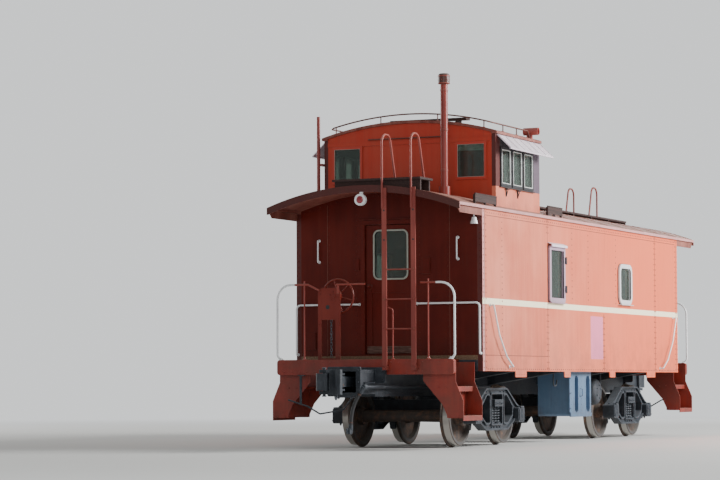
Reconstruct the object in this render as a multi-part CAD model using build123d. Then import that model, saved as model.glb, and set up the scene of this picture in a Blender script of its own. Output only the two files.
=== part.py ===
from build123d import *
import os
from math import cos, radians, sin, sqrt, tan

# A steel railway caboose with a cupola and open end platforms. Millimetres, X along the track with the
# cupola end at -X, Z up from the lowest point of the wheel flanges, Y across with the right side at -Y.
# Heights named H_ are above the rail top; other heights are sums of them.

# Body
BODY_LENGTH = 9040
BODY_WIDTH = 2840
WALL = 75
H_SILL = 1045
H_FLOOR = 1265
FLOOR_THICK = 65
H_EAVE = 3330

# Main roof
ROOF_OVERHANG = 900
ROOF_HALF = 1450
ROOF_RISE = 270
ROOF_SHEET = 40
FASCIA_DEPTH = 95
FASCIA_THICK = 14
SKIRT_DEPTH = 140
SKIRT_THICK = 14

# End platforms and their steps
PLATFORM_DEPTH = 840
PLATFORM_HALF = 1323
H_DECK = 1210
DECK_PLATE = 40
H_BEAM = 1000
END_BEAM = 80
BEAM_CORNER = 40
STEP_LENGTH = 700
TREAD_THICK = 30
TREAD_LIP = 70
LIP_THICK = 12
NOSING = 10
STRINGER = 12
RISER = 8
# Step treads as (inner edge, outer edge, height above the rail)
TREADS = (
    (1010, 1300, 837),
    (1190, 1430, 440),
)

# Wheels
WHEEL_RADIUS = 419
FLANGE_DEPTH = 25
WHEEL_WIDTH = 145
BACK_TO_BACK = 1353
AXLE_RADIUS = 82
JOURNAL_RADIUS = 70
JOURNAL_LENGTH = 190

# Trucks
TRUCK_CENTRES = 6060
WHEELBASE = 1700
JOURNAL_SPACING = 1970
FRAME_THICK = 130
FRAME_TOP = 390
FRAME_FOOT = 215
BOX_HALF = 125
BOX_LID = 20
JOURNAL_END_GAP = 12
BOLSTER_WIDTH = 330
BOLSTER_END = 110
H_CENTRE_PLATE = 654
CENTRE_PLATE_RADIUS = 178
SPRING_RADIUS = 50
SPRING_PITCH = 115
SPRING_SEAT = 120
SHAFT_GAP = 0.5
SEAT_GAP = 0.3
BRAKE_GAP = 7
SHOE_WIDTH = 85
SHOE_THICK = 45

# Underframe
CENTRE_SILL_HALF = 165
H_CENTRE_SILL = 700
SIDE_SILL_WIDTH = 60
BEARER_WIDTH = 180
BEARER_RISE = 150
TAB_DEPTH = 85
TAB_THICK = 12
BEARER_SPACING = 2100

# Couplers and draft housings
H_COUPLER = 901
DRAFT_REACH = 640
DRAFT_HALF = 200
DRAFT_HEIGHT = 330
DRAFT_WALL = 22
STRIKER_OUT = 45
STRIKER_THICK = 30
BUFFER_HALF = 340
BUFFER_THICK = 60
COUPLER_REACH = 1260
COUPLER_PIVOT_INSET = 140
COUPLER_PIN_RADIUS = 44
SHANK_HALF = 65
HEAD_HEIGHT = 330
KNUCKLE_HEIGHT = 230
KNUCKLE_PIN_RADIUS = 20.5
KNUCKLE_PIN_Y = 105
KNUCKLE_PIN_BACK = 190
KNUCKLE_BOSS = 60
KNUCKLE_POCKET = 78
KNUCKLE_GAP = 6

# Doors at both ends
DOOR_HALF = 346
DOOR_GAP = 8
DOOR_THICK = 45
DOOR_HEIGHT = 1815
DOOR_SILL = 20
DOOR_WINDOW_HALF = 250
DOOR_WINDOW_HEIGHT = 670
DOOR_WINDOW_TOP = 80
DOOR_WINDOW_SHIFT = -30
DOOR_WINDOW_CORNER = 70
DOOR_PANEL_DEPTH = 12
DOOR_RAIL = 90
KNOB_RADIUS = 27
KNOB_STEM = 12
HINGE_RADIUS = 8
HINGE_STAND_OFF = 9
HINGE_LENGTH = 70
HINGE_STRAP = 6
HINGE_REACH = 60
# Hinge heights above the door's sill, the last one below its top
HINGE_UP = (315, 915)
HINGE_DOWN = 250

# Cupola
CUPOLA_START = 766
CUPOLA_LENGTH = 1782
CUPOLA_HALF = 1332
CUPOLA_WALL = 60
CUPOLA_HEIGHT = 1106
CUPOLA_RISE = 200
CUPOLA_SHEET = 35
CUPOLA_EAVE_OUT = 28
CUPOLA_SILL_UP = 360
CUPOLA_SASH_HEIGHT = 520
# Cupola side sashes as (start, end) of each opening along the car
CUPOLA_SASHES = (
    (950, 1330),
    (1400, 1780),
    (1850, 2230),
)
END_SASH_MIDDLE = CUPOLA_HALF - 372
END_SASH_HALF = 220
END_SASH_UP = 450
END_SASH_HEIGHT = 500
MOULDING = 12
MOULDING_HEIGHT = 60

# Side windows as (start, end, sill above the floor, height, corner radius) of the wall opening
SIDE_WINDOWS = (
    (2680, 3270, 845, 750, 12),
    (5910, 6460, 900, 550, 90),
)
GLASS = 6
FRAME_PROUD = 35
FRAME_LAP = 45
SASH_LAP = 18
SASH_PROUD = 20
AWNING_OUT = 215
AWNING_DROP = 205
AWNING_SHEET = 8
AWNING_MARGIN = 45
HOOD_OUT = 70

# Roof fittings
WALK_HALF = 250
WALK_RISE = 90
WALK_THICK = 30
SADDLE_SPACING = 900
SADDLE_HALF = 20
END_BOARD = (-860, 460)
END_BOARD_WIDTH = 450
EAVE_BOARD_HEIGHT = 110
EAVE_BOARD_LIFT = 40
EAVE_BOARD_IN = 22
# Eave boards as (start, end) along the car
EAVE_BOARDS = (
    (-270, 550),
    (2640, 3270),
)
CUPOLA_BOARD = (1480, 1640)
CUPOLA_BOARD_HALF = 600
CUPOLA_RAIL_LIFT = 100
CUPOLA_RAIL_EDGE = CUPOLA_HALF - 92
CUPOLA_RAIL_END = 2300
RAIL_POST = 9
STACK_X = 400
STACK_Y = -700
STACK_RADIUS = 51.5
STACK_ABOVE = 604
STACK_CAP = 31
STACK_CAP_HEIGHT = 110
STACK_COLLAR = 30
VENT_X = 700
VENT_Y = CUPOLA_HALF + 63
VENT_RADIUS = 25
VENT_ABOVE = 114

# Ladders, rails and brake stands
LADDER_RAILS = (-340, -770)
LADDER_BAR = 70
LADDER_THICK = 16
LADDER_ABOVE_EAVE = 220
RUNG_FIRST = 1620
RUNG_PITCH = 405
RUNG_COUNT = 3
RUNG_RADIUS = 10
LOOP_ABOVE_EAVE = 960
LOOP_WIDTH = 270
LOOP_FOOT = -460
LOOP_SHIFT = 25
PIPE_RADIUS = 15
RAIL_INSET = 30
RAIL_ABOVE_DECK = 1040
RAIL_CORNER = 1330
WALL_RAIL_OUT = 50
WALL_RAIL_UP = 725
WALL_RAIL_ENDS = (440, 1395)
GRAB_Y = 1060
GRAB_UP = (1335, 1635)
SIDE_RAIL_OUT = 60
# Side handrail as (place along the car, height above the side sill)
SIDE_RAIL = (
    (270, 915),
    (480, 505),
    (760, 205),
    (1020, 65),
)
STAND_Y = (375, 715)
STAND_HEIGHT = 990
STAND_OPENING = (450, 660)
STAND_OPENING_TOP = 550
STAND_SHOULDER = 70
STAND_PLATE = 10
BRAKE_WHEEL_RADIUS = 250
BRAKE_WHEEL_Y = 469
BRAKE_WHEEL_UP = 876
BRAKE_RIM = 14
BRAKE_SPOKES = 6
# Boxes on the end wall as (low y, high y, low height, high height above the floor)
END_BOXES = (
    (-641, -510, 1137, 1363),
    (440, 510, 1205, 1365),
    (1115, 1275, 89, 335),
)
END_BOX_PROUD = 20

# Underfloor gear, measured from the middle of the car or from a truck
BATTERY_X = (-560, 380)
BATTERY_Y = (-1290, -760)
H_BATTERY_FOOT = 370
# Battery box slots as (start from its near end, width)
BATTERY_SLOTS = (
    (190, 150),
    (708, 172),
)
SLOT_HEIGHT = 560
SLOT_DEPTH = 60
RESERVOIR_RADIUS = 210
RESERVOIR_Y = (-1060, -330)
H_RESERVOIR = 735
RESERVOIR_CLEAR = 96
CYLINDER_CLEAR = 116
BRAKE_CYLINDER_RADIUS = 140
BRAKE_CYLINDER_LENGTH = 420
BRAKE_CYLINDER_Y = 700
TRAIN_PIPE_RADIUS = 21
H_TRAIN_PIPE = 830
TRAIN_PIPE_Y = 250
TRAIN_PIPE_END_Y = 330
TRAIN_PIPE_END = 680
CROSSING_X = 780
LEVER_RADIUS = 11
HOSE_RADIUS = 24
COCK_RADIUS = 34
COCK_LENGTH = 90
NOZZLE_LENGTH = 85

RAIL = FLANGE_DEPTH
AXLE_Z = WHEEL_RADIUS + FLANGE_DEPTH
END_X = -BODY_LENGTH / 2
BEAM_X = END_X - PLATFORM_DEPTH
ROOF_END_X = END_X - ROOF_OVERHANG
SIDE_Y = BODY_WIDTH / 2
ROOM_Y = SIDE_Y - WALL
TRUCK_X = TRUCK_CENTRES / 2
H_CROWN = H_EAVE + ROOF_RISE
H_WALK = H_CROWN + WALK_RISE
H_CUPOLA_EAVE = H_EAVE + CUPOLA_HEIGHT
H_CUPOLA_CROWN = H_CUPOLA_EAVE + CUPOLA_RISE
H_DOOR_SILL = H_FLOOR + DOOR_SILL
H_DOOR_TOP = H_DOOR_SILL + DOOR_HEIGHT
H_PLATFORM_SILL = H_FLOOR - FLOOR_THICK
COUPLER_PIVOT_X = BEAM_X - COUPLER_PIVOT_INSET
COUPLER_FACE_X = BEAM_X - COUPLER_REACH
KNUCKLE_PIN_X = COUPLER_FACE_X + KNUCKLE_PIN_BACK
STRIKER_X = BEAM_X - DRAFT_REACH


# Places and heights


def height(above_rail):
    return RAIL + above_rail


def along(from_end_wall):
    return END_X + from_end_wall


# Forms


def block(x, y, z):
    """A box from three pairs of low and high values."""
    low = [min(pair) for pair in (x, y, z)]
    size = [abs(pair[1] - pair[0]) for pair in (x, y, z)]
    centre = [low[i] + size[i] / 2 for i in range(3)]
    return Pos(*centre) * Box(*size)


def rod(start, end, radius):
    """A round bar between two points."""
    start, end = Vector(*start), Vector(*end)
    run = end - start
    seat = Plane(origin=start, z_dir=run)
    return seat.location * Cylinder(radius, run.length, align=(Align.CENTER, Align.CENTER, Align.MIN))


def drum_x(centre, radius, length):
    """A cylinder lying along the car."""
    return Pos(*centre) * Rot(0, 90, 0) * Cylinder(radius, length)


def pipe(points, radius, bend):
    """A bent round pipe along a path with equal corner radii."""
    path = FilletPolyline(*points, radius=bend)
    start = Plane(origin=path @ 0, z_dir=path % 0)
    return sweep(start * Circle(radius), path=path)


def outline(points, radius=0, sharp=()):
    """A flat face with rounded corners, apart from those whose numbers are in sharp."""
    face = make_face(Polyline(*points, close=True))
    if not radius:
        return face
    picked = []
    for number, (u, v) in enumerate(points):
        if number not in sharp:
            picked += [c for c in face.vertices() if abs(c.X - u) < 0.01 and abs(c.Y - v) < 0.01]
    return fillet(picked, radius)


def side_plate(face, y_start, thickness):
    """A plate from a face of (x, z), running from y_start towards +Y."""
    return Pos(0, y_start, 0) * extrude(Plane.XZ * face, amount=thickness, dir=(0, 1, 0))


def cross_plate(face, x_start, thickness):
    """A plate from a face of (y, z), running from x_start towards +X."""
    return Pos(x_start, 0, 0) * extrude(Plane.YZ * face, amount=thickness, dir=(1, 0, 0))


def flat_plate(face, z_start, thickness):
    """A plate from a face of (x, y), running up from z_start."""
    return Pos(0, 0, z_start) * extrude(face, amount=thickness, dir=(0, 0, 1))


def join(pieces):
    solid = pieces[0]
    for piece in pieces[1:]:
        solid = solid + piece
    return solid


def turned(shape):
    """The same piece at the other end of the car, turned about the upright axis."""
    return Rot(0, 0, 180) * shape


def both_ends(shape):
    return [shape, turned(shape)]


def mirrored(shape):
    """The same piece on the left side of the car."""
    return mirror(shape, about=Plane.XZ)


# Arched roofs


def arch_radius(half, rise):
    return (half * half + rise * rise) / (2 * rise)


ROOF_RADIUS = arch_radius(ROOF_HALF, ROOF_RISE)
CUPOLA_ROOF_HALF = CUPOLA_HALF + CUPOLA_EAVE_OUT
CUPOLA_ROOF_RADIUS = arch_radius(CUPOLA_ROOF_HALF, CUPOLA_RISE)


def arch(x_low, x_high, half, crown_z, rise, sheet, seat_half):
    """A curved roof sheet whose edges have a flat underside from seat_half outwards."""
    radius = arch_radius(half, rise)
    centre = crown_z - radius
    edge = crown_z - rise - sheet
    outer = Pos(0, centre) * Circle(radius)
    inner = Pos(0, centre) * Circle(radius - sheet)
    band = Pos(0, (edge + crown_z + sheet) / 2) * Rectangle(2 * half, crown_z + sheet - edge)
    hollow = Pos(0, edge + rise) * Rectangle(2 * seat_half, 2 * rise + 2 * sheet)
    section = (outer & band) - (inner & hollow)
    return Pos(x_low, 0, 0) * extrude(Plane.YZ * section, amount=x_high - x_low)


def under_arch(x_low, x_high, radius, crown_z, drop, bottom, wall_half):
    """The wall-shaped space below an arched roof, drop below its outer surface."""
    disc = Pos(0, crown_z - radius) * Circle(radius - drop)
    top = crown_z + drop
    slab = Pos(0, (bottom + top) / 2) * Rectangle(2 * wall_half, top - bottom)
    return Pos(x_low, 0, 0) * extrude(Plane.YZ * (disc & slab), amount=x_high - x_low)


def roof_z(y):
    """Height of the main roof's outer surface."""
    return height(H_CROWN) - ROOF_RADIUS + sqrt(ROOF_RADIUS**2 - y * y)


def cupola_z(y):
    """Height of the cupola roof's outer surface."""
    return height(H_CUPOLA_CROWN) - CUPOLA_ROOF_RADIUS + sqrt(CUPOLA_ROOF_RADIUS**2 - y * y)


def above_roof(shape, length=4 * BODY_LENGTH):
    """A piece that stands on the main roof, its foot cut to the roof's curve over that length."""
    return shape - drum_x((0, 0, height(H_CROWN) - ROOF_RADIUS), ROOF_RADIUS + SEAT_GAP, length)


def above_cupola(shape):
    """A piece that stands on the cupola roof, its foot cut to the roof's curve."""
    centre = height(H_CUPOLA_CROWN) - CUPOLA_ROOF_RADIUS
    return shape - drum_x((0, 0, centre), CUPOLA_ROOF_RADIUS + SEAT_GAP, 4 * BODY_LENGTH)


# Windows


def window_face(start, end, sill, top, corner, grow=0):
    """A rounded window outline of (x, z), grown all round."""
    rounded = RectangleRounded(end - start + 2 * grow, top - sill + 2 * grow, max(corner + grow, 2))
    return Pos((start + end) / 2, (sill + top) / 2) * rounded


def side_window(window, grow=0):
    start, end, sill_up, tall, corner = window
    sill = height(H_FLOOR + sill_up)
    return window_face(along(start), along(end), sill, sill + tall, corner, grow)


def cupola_window(sash, grow=0):
    start, end = sash
    sill = height(H_EAVE + CUPOLA_SILL_UP)
    return window_face(along(start), along(end), sill, sill + CUPOLA_SASH_HEIGHT, 4, grow)


def cupola_end_window(side, grow, x_low, x_high):
    middle = side * END_SASH_MIDDLE
    sill = height(H_EAVE + END_SASH_UP)
    return block((x_low, x_high), (middle - END_SASH_HALF - grow, middle + END_SASH_HALF + grow),
                 (sill - grow, sill + END_SASH_HEIGHT + grow))


# Cupola end walls as (outward direction, outer face)
CUPOLA_ENDS = (
    (-1, along(CUPOLA_START)),
    (1, along(CUPOLA_START + CUPOLA_LENGTH)),
)


def window_frames():
    """Frames that lap over each opening from outside, with the glass seated behind them."""
    frames = []
    for window in SIDE_WINDOWS:
        ring = side_window(window, FRAME_LAP) - side_window(window, -FRAME_LAP / 2)
        frames.append(side_plate(ring, -SIDE_Y - FRAME_PROUD, FRAME_PROUD))
    for sash in CUPOLA_SASHES:
        ring = cupola_window(sash, SASH_LAP) - cupola_window(sash, -SASH_LAP)
        frames.append(side_plate(ring, -CUPOLA_HALF - SASH_PROUD, SASH_PROUD))
    frames = frames + [mirrored(frame) for frame in frames]
    for outward, x in CUPOLA_ENDS:
        for side in (-1, 1):
            ring = cupola_end_window(side, SASH_LAP, x, x + outward * SASH_PROUD)
            hole = cupola_end_window(side, -SASH_LAP, x - SASH_PROUD - 1, x + SASH_PROUD + 1)
            frames.append(ring - hole)
    return frames


def window_glass():
    """Panes just behind the frames."""
    panes = [side_plate(side_window(window, -SEAT_GAP), -SIDE_Y, GLASS) for window in SIDE_WINDOWS]
    for sash in CUPOLA_SASHES:
        panes.append(side_plate(cupola_window(sash, -SEAT_GAP), -CUPOLA_HALF, GLASS))
    panes = panes + [mirrored(pane) for pane in panes]
    for outward, x in CUPOLA_ENDS:
        for side in (-1, 1):
            panes.append(cupola_end_window(side, -SEAT_GAP, x, x - outward * GLASS))
    return panes


def awnings():
    """Sloping sheet awnings over the cupola sashes and small hoods over the large side windows."""
    top_z = height(H_CUPOLA_EAVE) - CUPOLA_SHEET - 2
    fold = 2 * AWNING_SHEET
    x_low = along(CUPOLA_START) + AWNING_MARGIN
    slope = outline(((-CUPOLA_HALF, top_z), (-CUPOLA_HALF - AWNING_OUT, top_z - AWNING_DROP),
                     (-CUPOLA_HALF - AWNING_OUT, top_z - AWNING_DROP - fold), (-CUPOLA_HALF, top_z - fold)))
    awning = cross_plate(slope, x_low, CUPOLA_LENGTH - AWNING_MARGIN / 2)
    start, end, sill_up, tall, corner = SIDE_WINDOWS[0]
    hood_z = height(H_FLOOR + sill_up + tall) + FRAME_LAP
    lip = -SIDE_Y - HOOD_OUT
    bent = outline(((-SIDE_Y, hood_z + 45), (lip, hood_z + 15), (lip, hood_z - 20), (lip + AWNING_SHEET, hood_z - 20),
                    (lip + AWNING_SHEET, hood_z + 8), (-SIDE_Y, hood_z + 35)))
    hood = cross_plate(bent, along(start) - AWNING_MARGIN, end - start + 2 * AWNING_MARGIN)
    return [awning, mirrored(awning), hood, mirrored(hood)]


# Walls


# Bearers across the underframe as (place, half width of the tab on the side sheet)
BEARERS = (
    (-TRUCK_X, 225),
    (-BEARER_SPACING / 2, 135),
    (BEARER_SPACING / 2, 135),
    (TRUCK_X, 225),
)


def side_wall():
    """Right side of the car: one panel with its windows and the bearer tabs below the sill."""
    wall = block((END_X, -END_X), (-SIDE_Y, -ROOM_Y), (height(H_SILL), height(H_EAVE) - ROOF_SHEET))
    for window in SIDE_WINDOWS:
        wall = wall - side_plate(side_window(window), -SIDE_Y - 1, WALL + 2)
    for x, half in BEARERS:
        foot = height(H_SILL - TAB_DEPTH)
        tab = outline(((x - half, height(H_SILL) + 1), (x - half, foot), (x + half, foot),
                       (x + half, height(H_SILL) + 1)), 18, (0, 3))
        wall = wall + side_plate(tab, -SIDE_Y, TAB_THICK)
    return wall


def hinge_heights():
    low = [height(H_DOOR_SILL + up) for up in HINGE_UP]
    return low + [height(H_DOOR_TOP - HINGE_DOWN)]


HINGE_Y = -DOOR_HALF - DOOR_GAP / 2
HINGE_X = END_X + WALL + HINGE_STAND_OFF


def hinge_half(z, side):
    """Half a hinge: a barrel and a strap onto the wall (side -1) or onto the leaf (side 1)."""
    barrel = Pos(HINGE_X, HINGE_Y, z) * Cylinder(HINGE_RADIUS, HINGE_LENGTH)
    strap = block((END_X + WALL, END_X + WALL + HINGE_STRAP), (HINGE_Y + side * 5, HINGE_Y + side * HINGE_REACH),
                  (z - HINGE_LENGTH / 2, z + HINGE_LENGTH / 2))
    return barrel + strap


def end_wall():
    """Wall of the cupola end, with its doorway, hinge halves and shallow boxes."""
    wall = under_arch(END_X, END_X + WALL, ROOF_RADIUS, height(H_CROWN), ROOF_SHEET + SEAT_GAP,
                      height(H_FLOOR), ROOM_Y)
    doorway = block((END_X - 1, END_X + WALL + 1), (-DOOR_HALF - DOOR_GAP, DOOR_HALF + DOOR_GAP),
                    (height(H_DOOR_SILL), height(H_DOOR_TOP) + DOOR_GAP))
    wall = wall - doorway
    for hinge_z in hinge_heights():
        wall = wall + hinge_half(hinge_z - HINGE_LENGTH / 2 - SEAT_GAP, -1)
    for low, high, foot, top in END_BOXES:
        wall = wall + block((END_X - END_BOX_PROUD, END_X + 1), (low, high),
                            (height(H_FLOOR + foot), height(H_FLOOR + top)))
    return wall


def door_window(grow, x_low, x_high):
    top = height(H_DOOR_TOP - DOOR_WINDOW_TOP)
    face = RectangleRounded(2 * (DOOR_WINDOW_HALF + grow), DOOR_WINDOW_HEIGHT + 2 * grow, DOOR_WINDOW_CORNER + grow)
    return cross_plate(Pos(DOOR_WINDOW_SHIFT, top - DOOR_WINDOW_HEIGHT / 2) * face, x_low, x_high - x_low)


def door():
    """Door leaf with a rounded window, a sunk lower panel, a knob and its hinge halves."""
    inner = END_X + WALL
    outer = inner - DOOR_THICK
    window_sill = height(H_DOOR_TOP - DOOR_WINDOW_TOP - DOOR_WINDOW_HEIGHT)
    foot = height(H_DOOR_SILL) + DOOR_GAP
    leaf = block((outer, inner), (-DOOR_HALF, DOOR_HALF), (foot, height(H_DOOR_TOP)))
    leaf = leaf - door_window(0, outer - 1, inner + 1)
    leaf = leaf - block((outer - 1, outer + DOOR_PANEL_DEPTH), (-DOOR_HALF + DOOR_RAIL, DOOR_HALF - DOOR_RAIL),
                        (foot + 1.4 * DOOR_RAIL, window_sill - 2.2 * DOOR_RAIL))
    knob_z = window_sill - 1.2 * DOOR_RAIL
    knob_y = DOOR_HALF - 2 * DOOR_RAIL / 3
    leaf = leaf + rod((outer - 2 * KNOB_RADIUS, knob_y, knob_z), (inner + 2 * KNOB_RADIUS, knob_y, knob_z), KNOB_STEM)
    for x in (outer - 2 * KNOB_RADIUS, inner + 2 * KNOB_RADIUS):
        leaf = leaf + Pos(x, knob_y, knob_z) * Sphere(KNOB_RADIUS)
    for hinge_z in hinge_heights():
        leaf = leaf + hinge_half(hinge_z + HINGE_LENGTH / 2 + SEAT_GAP, 1)
    return leaf


def door_glass():
    middle = END_X + WALL - DOOR_THICK / 2
    return door_window(-SEAT_GAP, middle - GLASS / 2, middle + GLASS / 2)


# Cupola


def cupola_side():
    """Right cupola wall, standing on the roof, with three sash openings."""
    wall = block((along(CUPOLA_START), along(CUPOLA_START + CUPOLA_LENGTH)),
                 (-CUPOLA_HALF, -CUPOLA_HALF + CUPOLA_WALL),
                 (height(H_EAVE) - 100, height(H_CUPOLA_EAVE) - CUPOLA_SHEET))
    for sash in CUPOLA_SASHES:
        wall = wall - side_plate(cupola_window(sash), -CUPOLA_HALF - 1, CUPOLA_WALL + 2)
    return above_roof(wall)


def cupola_end(outward, face_x):
    """Cupola end wall with two windows, the arched head and the moulding above the windows."""
    x_low = face_x if outward < 0 else face_x - CUPOLA_WALL
    half = CUPOLA_HALF - CUPOLA_WALL
    wall = under_arch(x_low, x_low + CUPOLA_WALL, CUPOLA_ROOF_RADIUS, height(H_CUPOLA_CROWN),
                      CUPOLA_SHEET + SEAT_GAP, height(H_EAVE) - 100, half)
    for side in (-1, 1):
        wall = wall - cupola_end_window(side, 0, x_low - 1, x_low + CUPOLA_WALL + 1)
    foot = height(H_EAVE + END_SASH_UP + END_SASH_HEIGHT) + SASH_LAP + 2
    wall = wall + block((face_x, face_x + outward * MOULDING), (-half, half), (foot, foot + MOULDING_HEIGHT))
    return above_roof(wall)


def cupola_roof():
    start = along(CUPOLA_START) - CUPOLA_EAVE_OUT
    end = along(CUPOLA_START + CUPOLA_LENGTH) + CUPOLA_EAVE_OUT
    return arch(start, end, CUPOLA_ROOF_HALF, height(H_CUPOLA_CROWN), CUPOLA_RISE, CUPOLA_SHEET,
                CUPOLA_HALF - CUPOLA_WALL)


def cupola_rails():
    """Pipe rail round the cupola roof on short posts, and the grab rail across its front."""
    x_low = along(CUPOLA_START) + 20
    x_high = along(CUPOLA_RAIL_END)
    edge = CUPOLA_RAIL_EDGE
    edge_z = cupola_z(edge) + CUPOLA_RAIL_LIFT
    shoulder = edge / 2
    pieces = []
    for side in (-1, 1):
        y = side * edge
        pieces.append(pipe(((x_low, 0, height(H_CUPOLA_CROWN) + CUPOLA_RAIL_LIFT),
                            (x_low, side * shoulder, cupola_z(shoulder) + CUPOLA_RAIL_LIFT),
                            (x_low, y, edge_z), (x_high, y, edge_z),
                            (x_high + CUPOLA_RAIL_LIFT, y, cupola_z(edge) - 10)), RAIL_POST + 3, 60))
        for px, py in ((x_low, 442), (x_low, 1150), (along(1300), edge), (along(1850), edge)):
            pieces.append(rod((px, side * py, cupola_z(py) - 10), (px, side * py, cupola_z(py) + CUPOLA_RAIL_LIFT),
                              RAIL_POST))
    wall_x = along(CUPOLA_START)
    grab_x = wall_x - 35
    grab_z = height(H_CUPOLA_EAVE) - 50
    grab = rod((grab_x, -620, grab_z), (grab_x, 620, grab_z), RAIL_POST)
    for y in (-600, 0, 600):
        grab = grab + rod((grab_x, y, grab_z), (wall_x - SEAT_GAP, y, grab_z), RAIL_POST - 2)
    return [above_cupola(join(pieces)), grab]


# Main roof and what stands on it


def roof():
    """Main roof over cabin and platforms, with its fascias, skirts and the cupola opening."""
    crown = height(H_CROWN)
    edge = height(H_EAVE) - ROOF_SHEET
    shell = arch(ROOF_END_X, -ROOF_END_X, ROOF_HALF, crown, ROOF_RISE, ROOF_SHEET, ROOM_Y)
    fascia = arch(ROOF_END_X, ROOF_END_X + FASCIA_THICK, ROOF_HALF, crown, ROOF_RISE, FASCIA_DEPTH, ROOF_HALF - 1)
    shell = shell + fascia + turned(fascia)
    skirt_low = height(H_EAVE - SKIRT_DEPTH)
    skirt = side_plate(outline(((ROOF_END_X, edge), (ROOF_END_X, edge - 20), (ROOF_END_X + 90, skirt_low),
                                (END_X, skirt_low), (END_X, edge))), -SIDE_Y, SKIRT_THICK)
    for piece in (skirt, mirrored(skirt)):
        shell = shell + piece + turned(piece)
    inside = CUPOLA_WALL + 10
    opening = block((along(CUPOLA_START) + inside, along(CUPOLA_START + CUPOLA_LENGTH) - inside),
                    (-CUPOLA_HALF + inside, CUPOLA_HALF - inside), (height(H_EAVE) - 200, crown + 10))
    stack = Pos(along(STACK_X), STACK_Y, crown) * Cylinder(STACK_RADIUS + SEAT_GAP, 800)
    return shell - opening - stack


def saddle(x, low, high, top, board):
    """A cross batten under a board, its foot left long for the roof to trim."""
    return block((x - SADDLE_HALF, x + SADDLE_HALF), (low, high), (top - WALK_RISE - 90, top - board))


def roof_walk():
    """Running boards along the crown, the crosswise boards at the ends and on the cupola, and eave boards."""
    top = height(H_WALK)
    z = (top - WALK_THICK, top)
    back = along(CUPOLA_START + CUPOLA_LENGTH) + 40
    far = -ROOF_END_X - 60
    boards = [block((back, far), (-WALK_HALF, WALK_HALF), z)]
    count = int((far - back) / SADDLE_SPACING)
    for i in range(count + 1):
        x = back + 60 + i * (far - back - 120) / count
        boards.append(saddle(x, -WALK_HALF, WALK_HALF, top, WALK_THICK))
    end_low = ROOF_END_X + 30
    near = [block((end_low, end_low + END_BOARD_WIDTH), END_BOARD, z),
            block((end_low, along(CUPOLA_START) - 40), (-WALK_HALF, WALK_HALF), z)]
    for x in (end_low + 70, end_low + END_BOARD_WIDTH - 70):
        near.append(saddle(x, END_BOARD[0] + 20, END_BOARD[1] - 20, top, WALK_THICK))
    near.append(saddle(along(400), -WALK_HALF, WALK_HALF, top, WALK_THICK))
    walks = [above_roof(join(boards)), above_roof(join(near)), cupola_board()]
    for start, end in EAVE_BOARDS:
        board = eave_board(start, end)
        walks += [board, mirrored(board)]
    return walks


def eave_board(start, end):
    """Upright board along the roof edge on three posts, with a round top rail."""
    outer = -ROOF_HALF + EAVE_BOARD_IN
    foot = height(H_EAVE) + EAVE_BOARD_LIFT
    top = foot + EAVE_BOARD_HEIGHT
    board = block((along(start), along(end)), (outer, outer + 12), (foot, top))
    board = board + rod((along(start), outer + 6, top), (along(end), outer + 6, top), 11)
    for x in (along(start) + 20, along((start + end) / 2), along(end) - 20):
        board = board + block((x - 15, x + 15), (outer + 6, outer + 36), (height(H_EAVE) - 60, top - 10))
    return above_roof(board)


def cupola_board():
    """Crosswise board on two battens on the cupola roof."""
    x_low, x_high = (along(x) for x in CUPOLA_BOARD)
    top = height(H_CUPOLA_CROWN) + WALK_RISE
    board = block((x_low, x_high), (-CUPOLA_BOARD_HALF, CUPOLA_BOARD_HALF), (top - WALK_THICK, top))
    for y in (-450, 450):
        board = board + block((x_low, x_high), (y - SADDLE_HALF, y + SADDLE_HALF),
                              (height(H_CUPOLA_CROWN) - 60, top - WALK_THICK))
    return above_cupola(board)


def smokestack():
    """Cast stove in the cabin and its pipe up through the roof, with collar and cap."""
    x = along(STACK_X)
    floor = height(H_FLOOR)
    top = height(H_CUPOLA_CROWN + STACK_ABOVE)
    cap = top - 20
    profile = outline(((0, floor + 150), (190, floor + 150), (205, floor + 250), (185, floor + 620),
                       (150, floor + 760), (STACK_RADIUS, floor + 800), (STACK_RADIUS, cap - STACK_CAP_HEIGHT),
                       (STACK_RADIUS + STACK_CAP, cap - STACK_CAP_HEIGHT), (STACK_RADIUS + STACK_CAP, cap),
                       (STACK_RADIUS + 10, top), (0, top)))
    body = Pos(x, STACK_Y, 0) * revolve(Plane.XZ * profile, Axis.Z)
    for angle in (45, 135, 225, 315):
        foot_x = x + 130 * cos(radians(angle))
        foot_y = STACK_Y + 130 * sin(radians(angle))
        body = body + Pos(foot_x, foot_y, floor + 80) * Cylinder(18, 160)
    collar = Pos(x, STACK_Y, roof_z(STACK_Y) + STACK_COLLAR) * Cylinder(STACK_RADIUS + STACK_COLLAR, 150)
    return body + above_roof(collar)


def vent_pipe():
    """Thin upright pipe on the left eave, clipped to the cupola."""
    x = along(VENT_X)
    tube = rod((x, VENT_Y, height(H_EAVE) - 60), (x, VENT_Y, height(H_CUPOLA_CROWN + VENT_ABOVE)), VENT_RADIUS)
    clip_z = height(H_EAVE + 720)
    arm = block((x - 10, along(CUPOLA_START) + 100), (CUPOLA_HALF, VENT_Y), (clip_z - 15, clip_z + 15))
    return above_roof(tube + arm)


# Underframe and platforms


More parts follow.
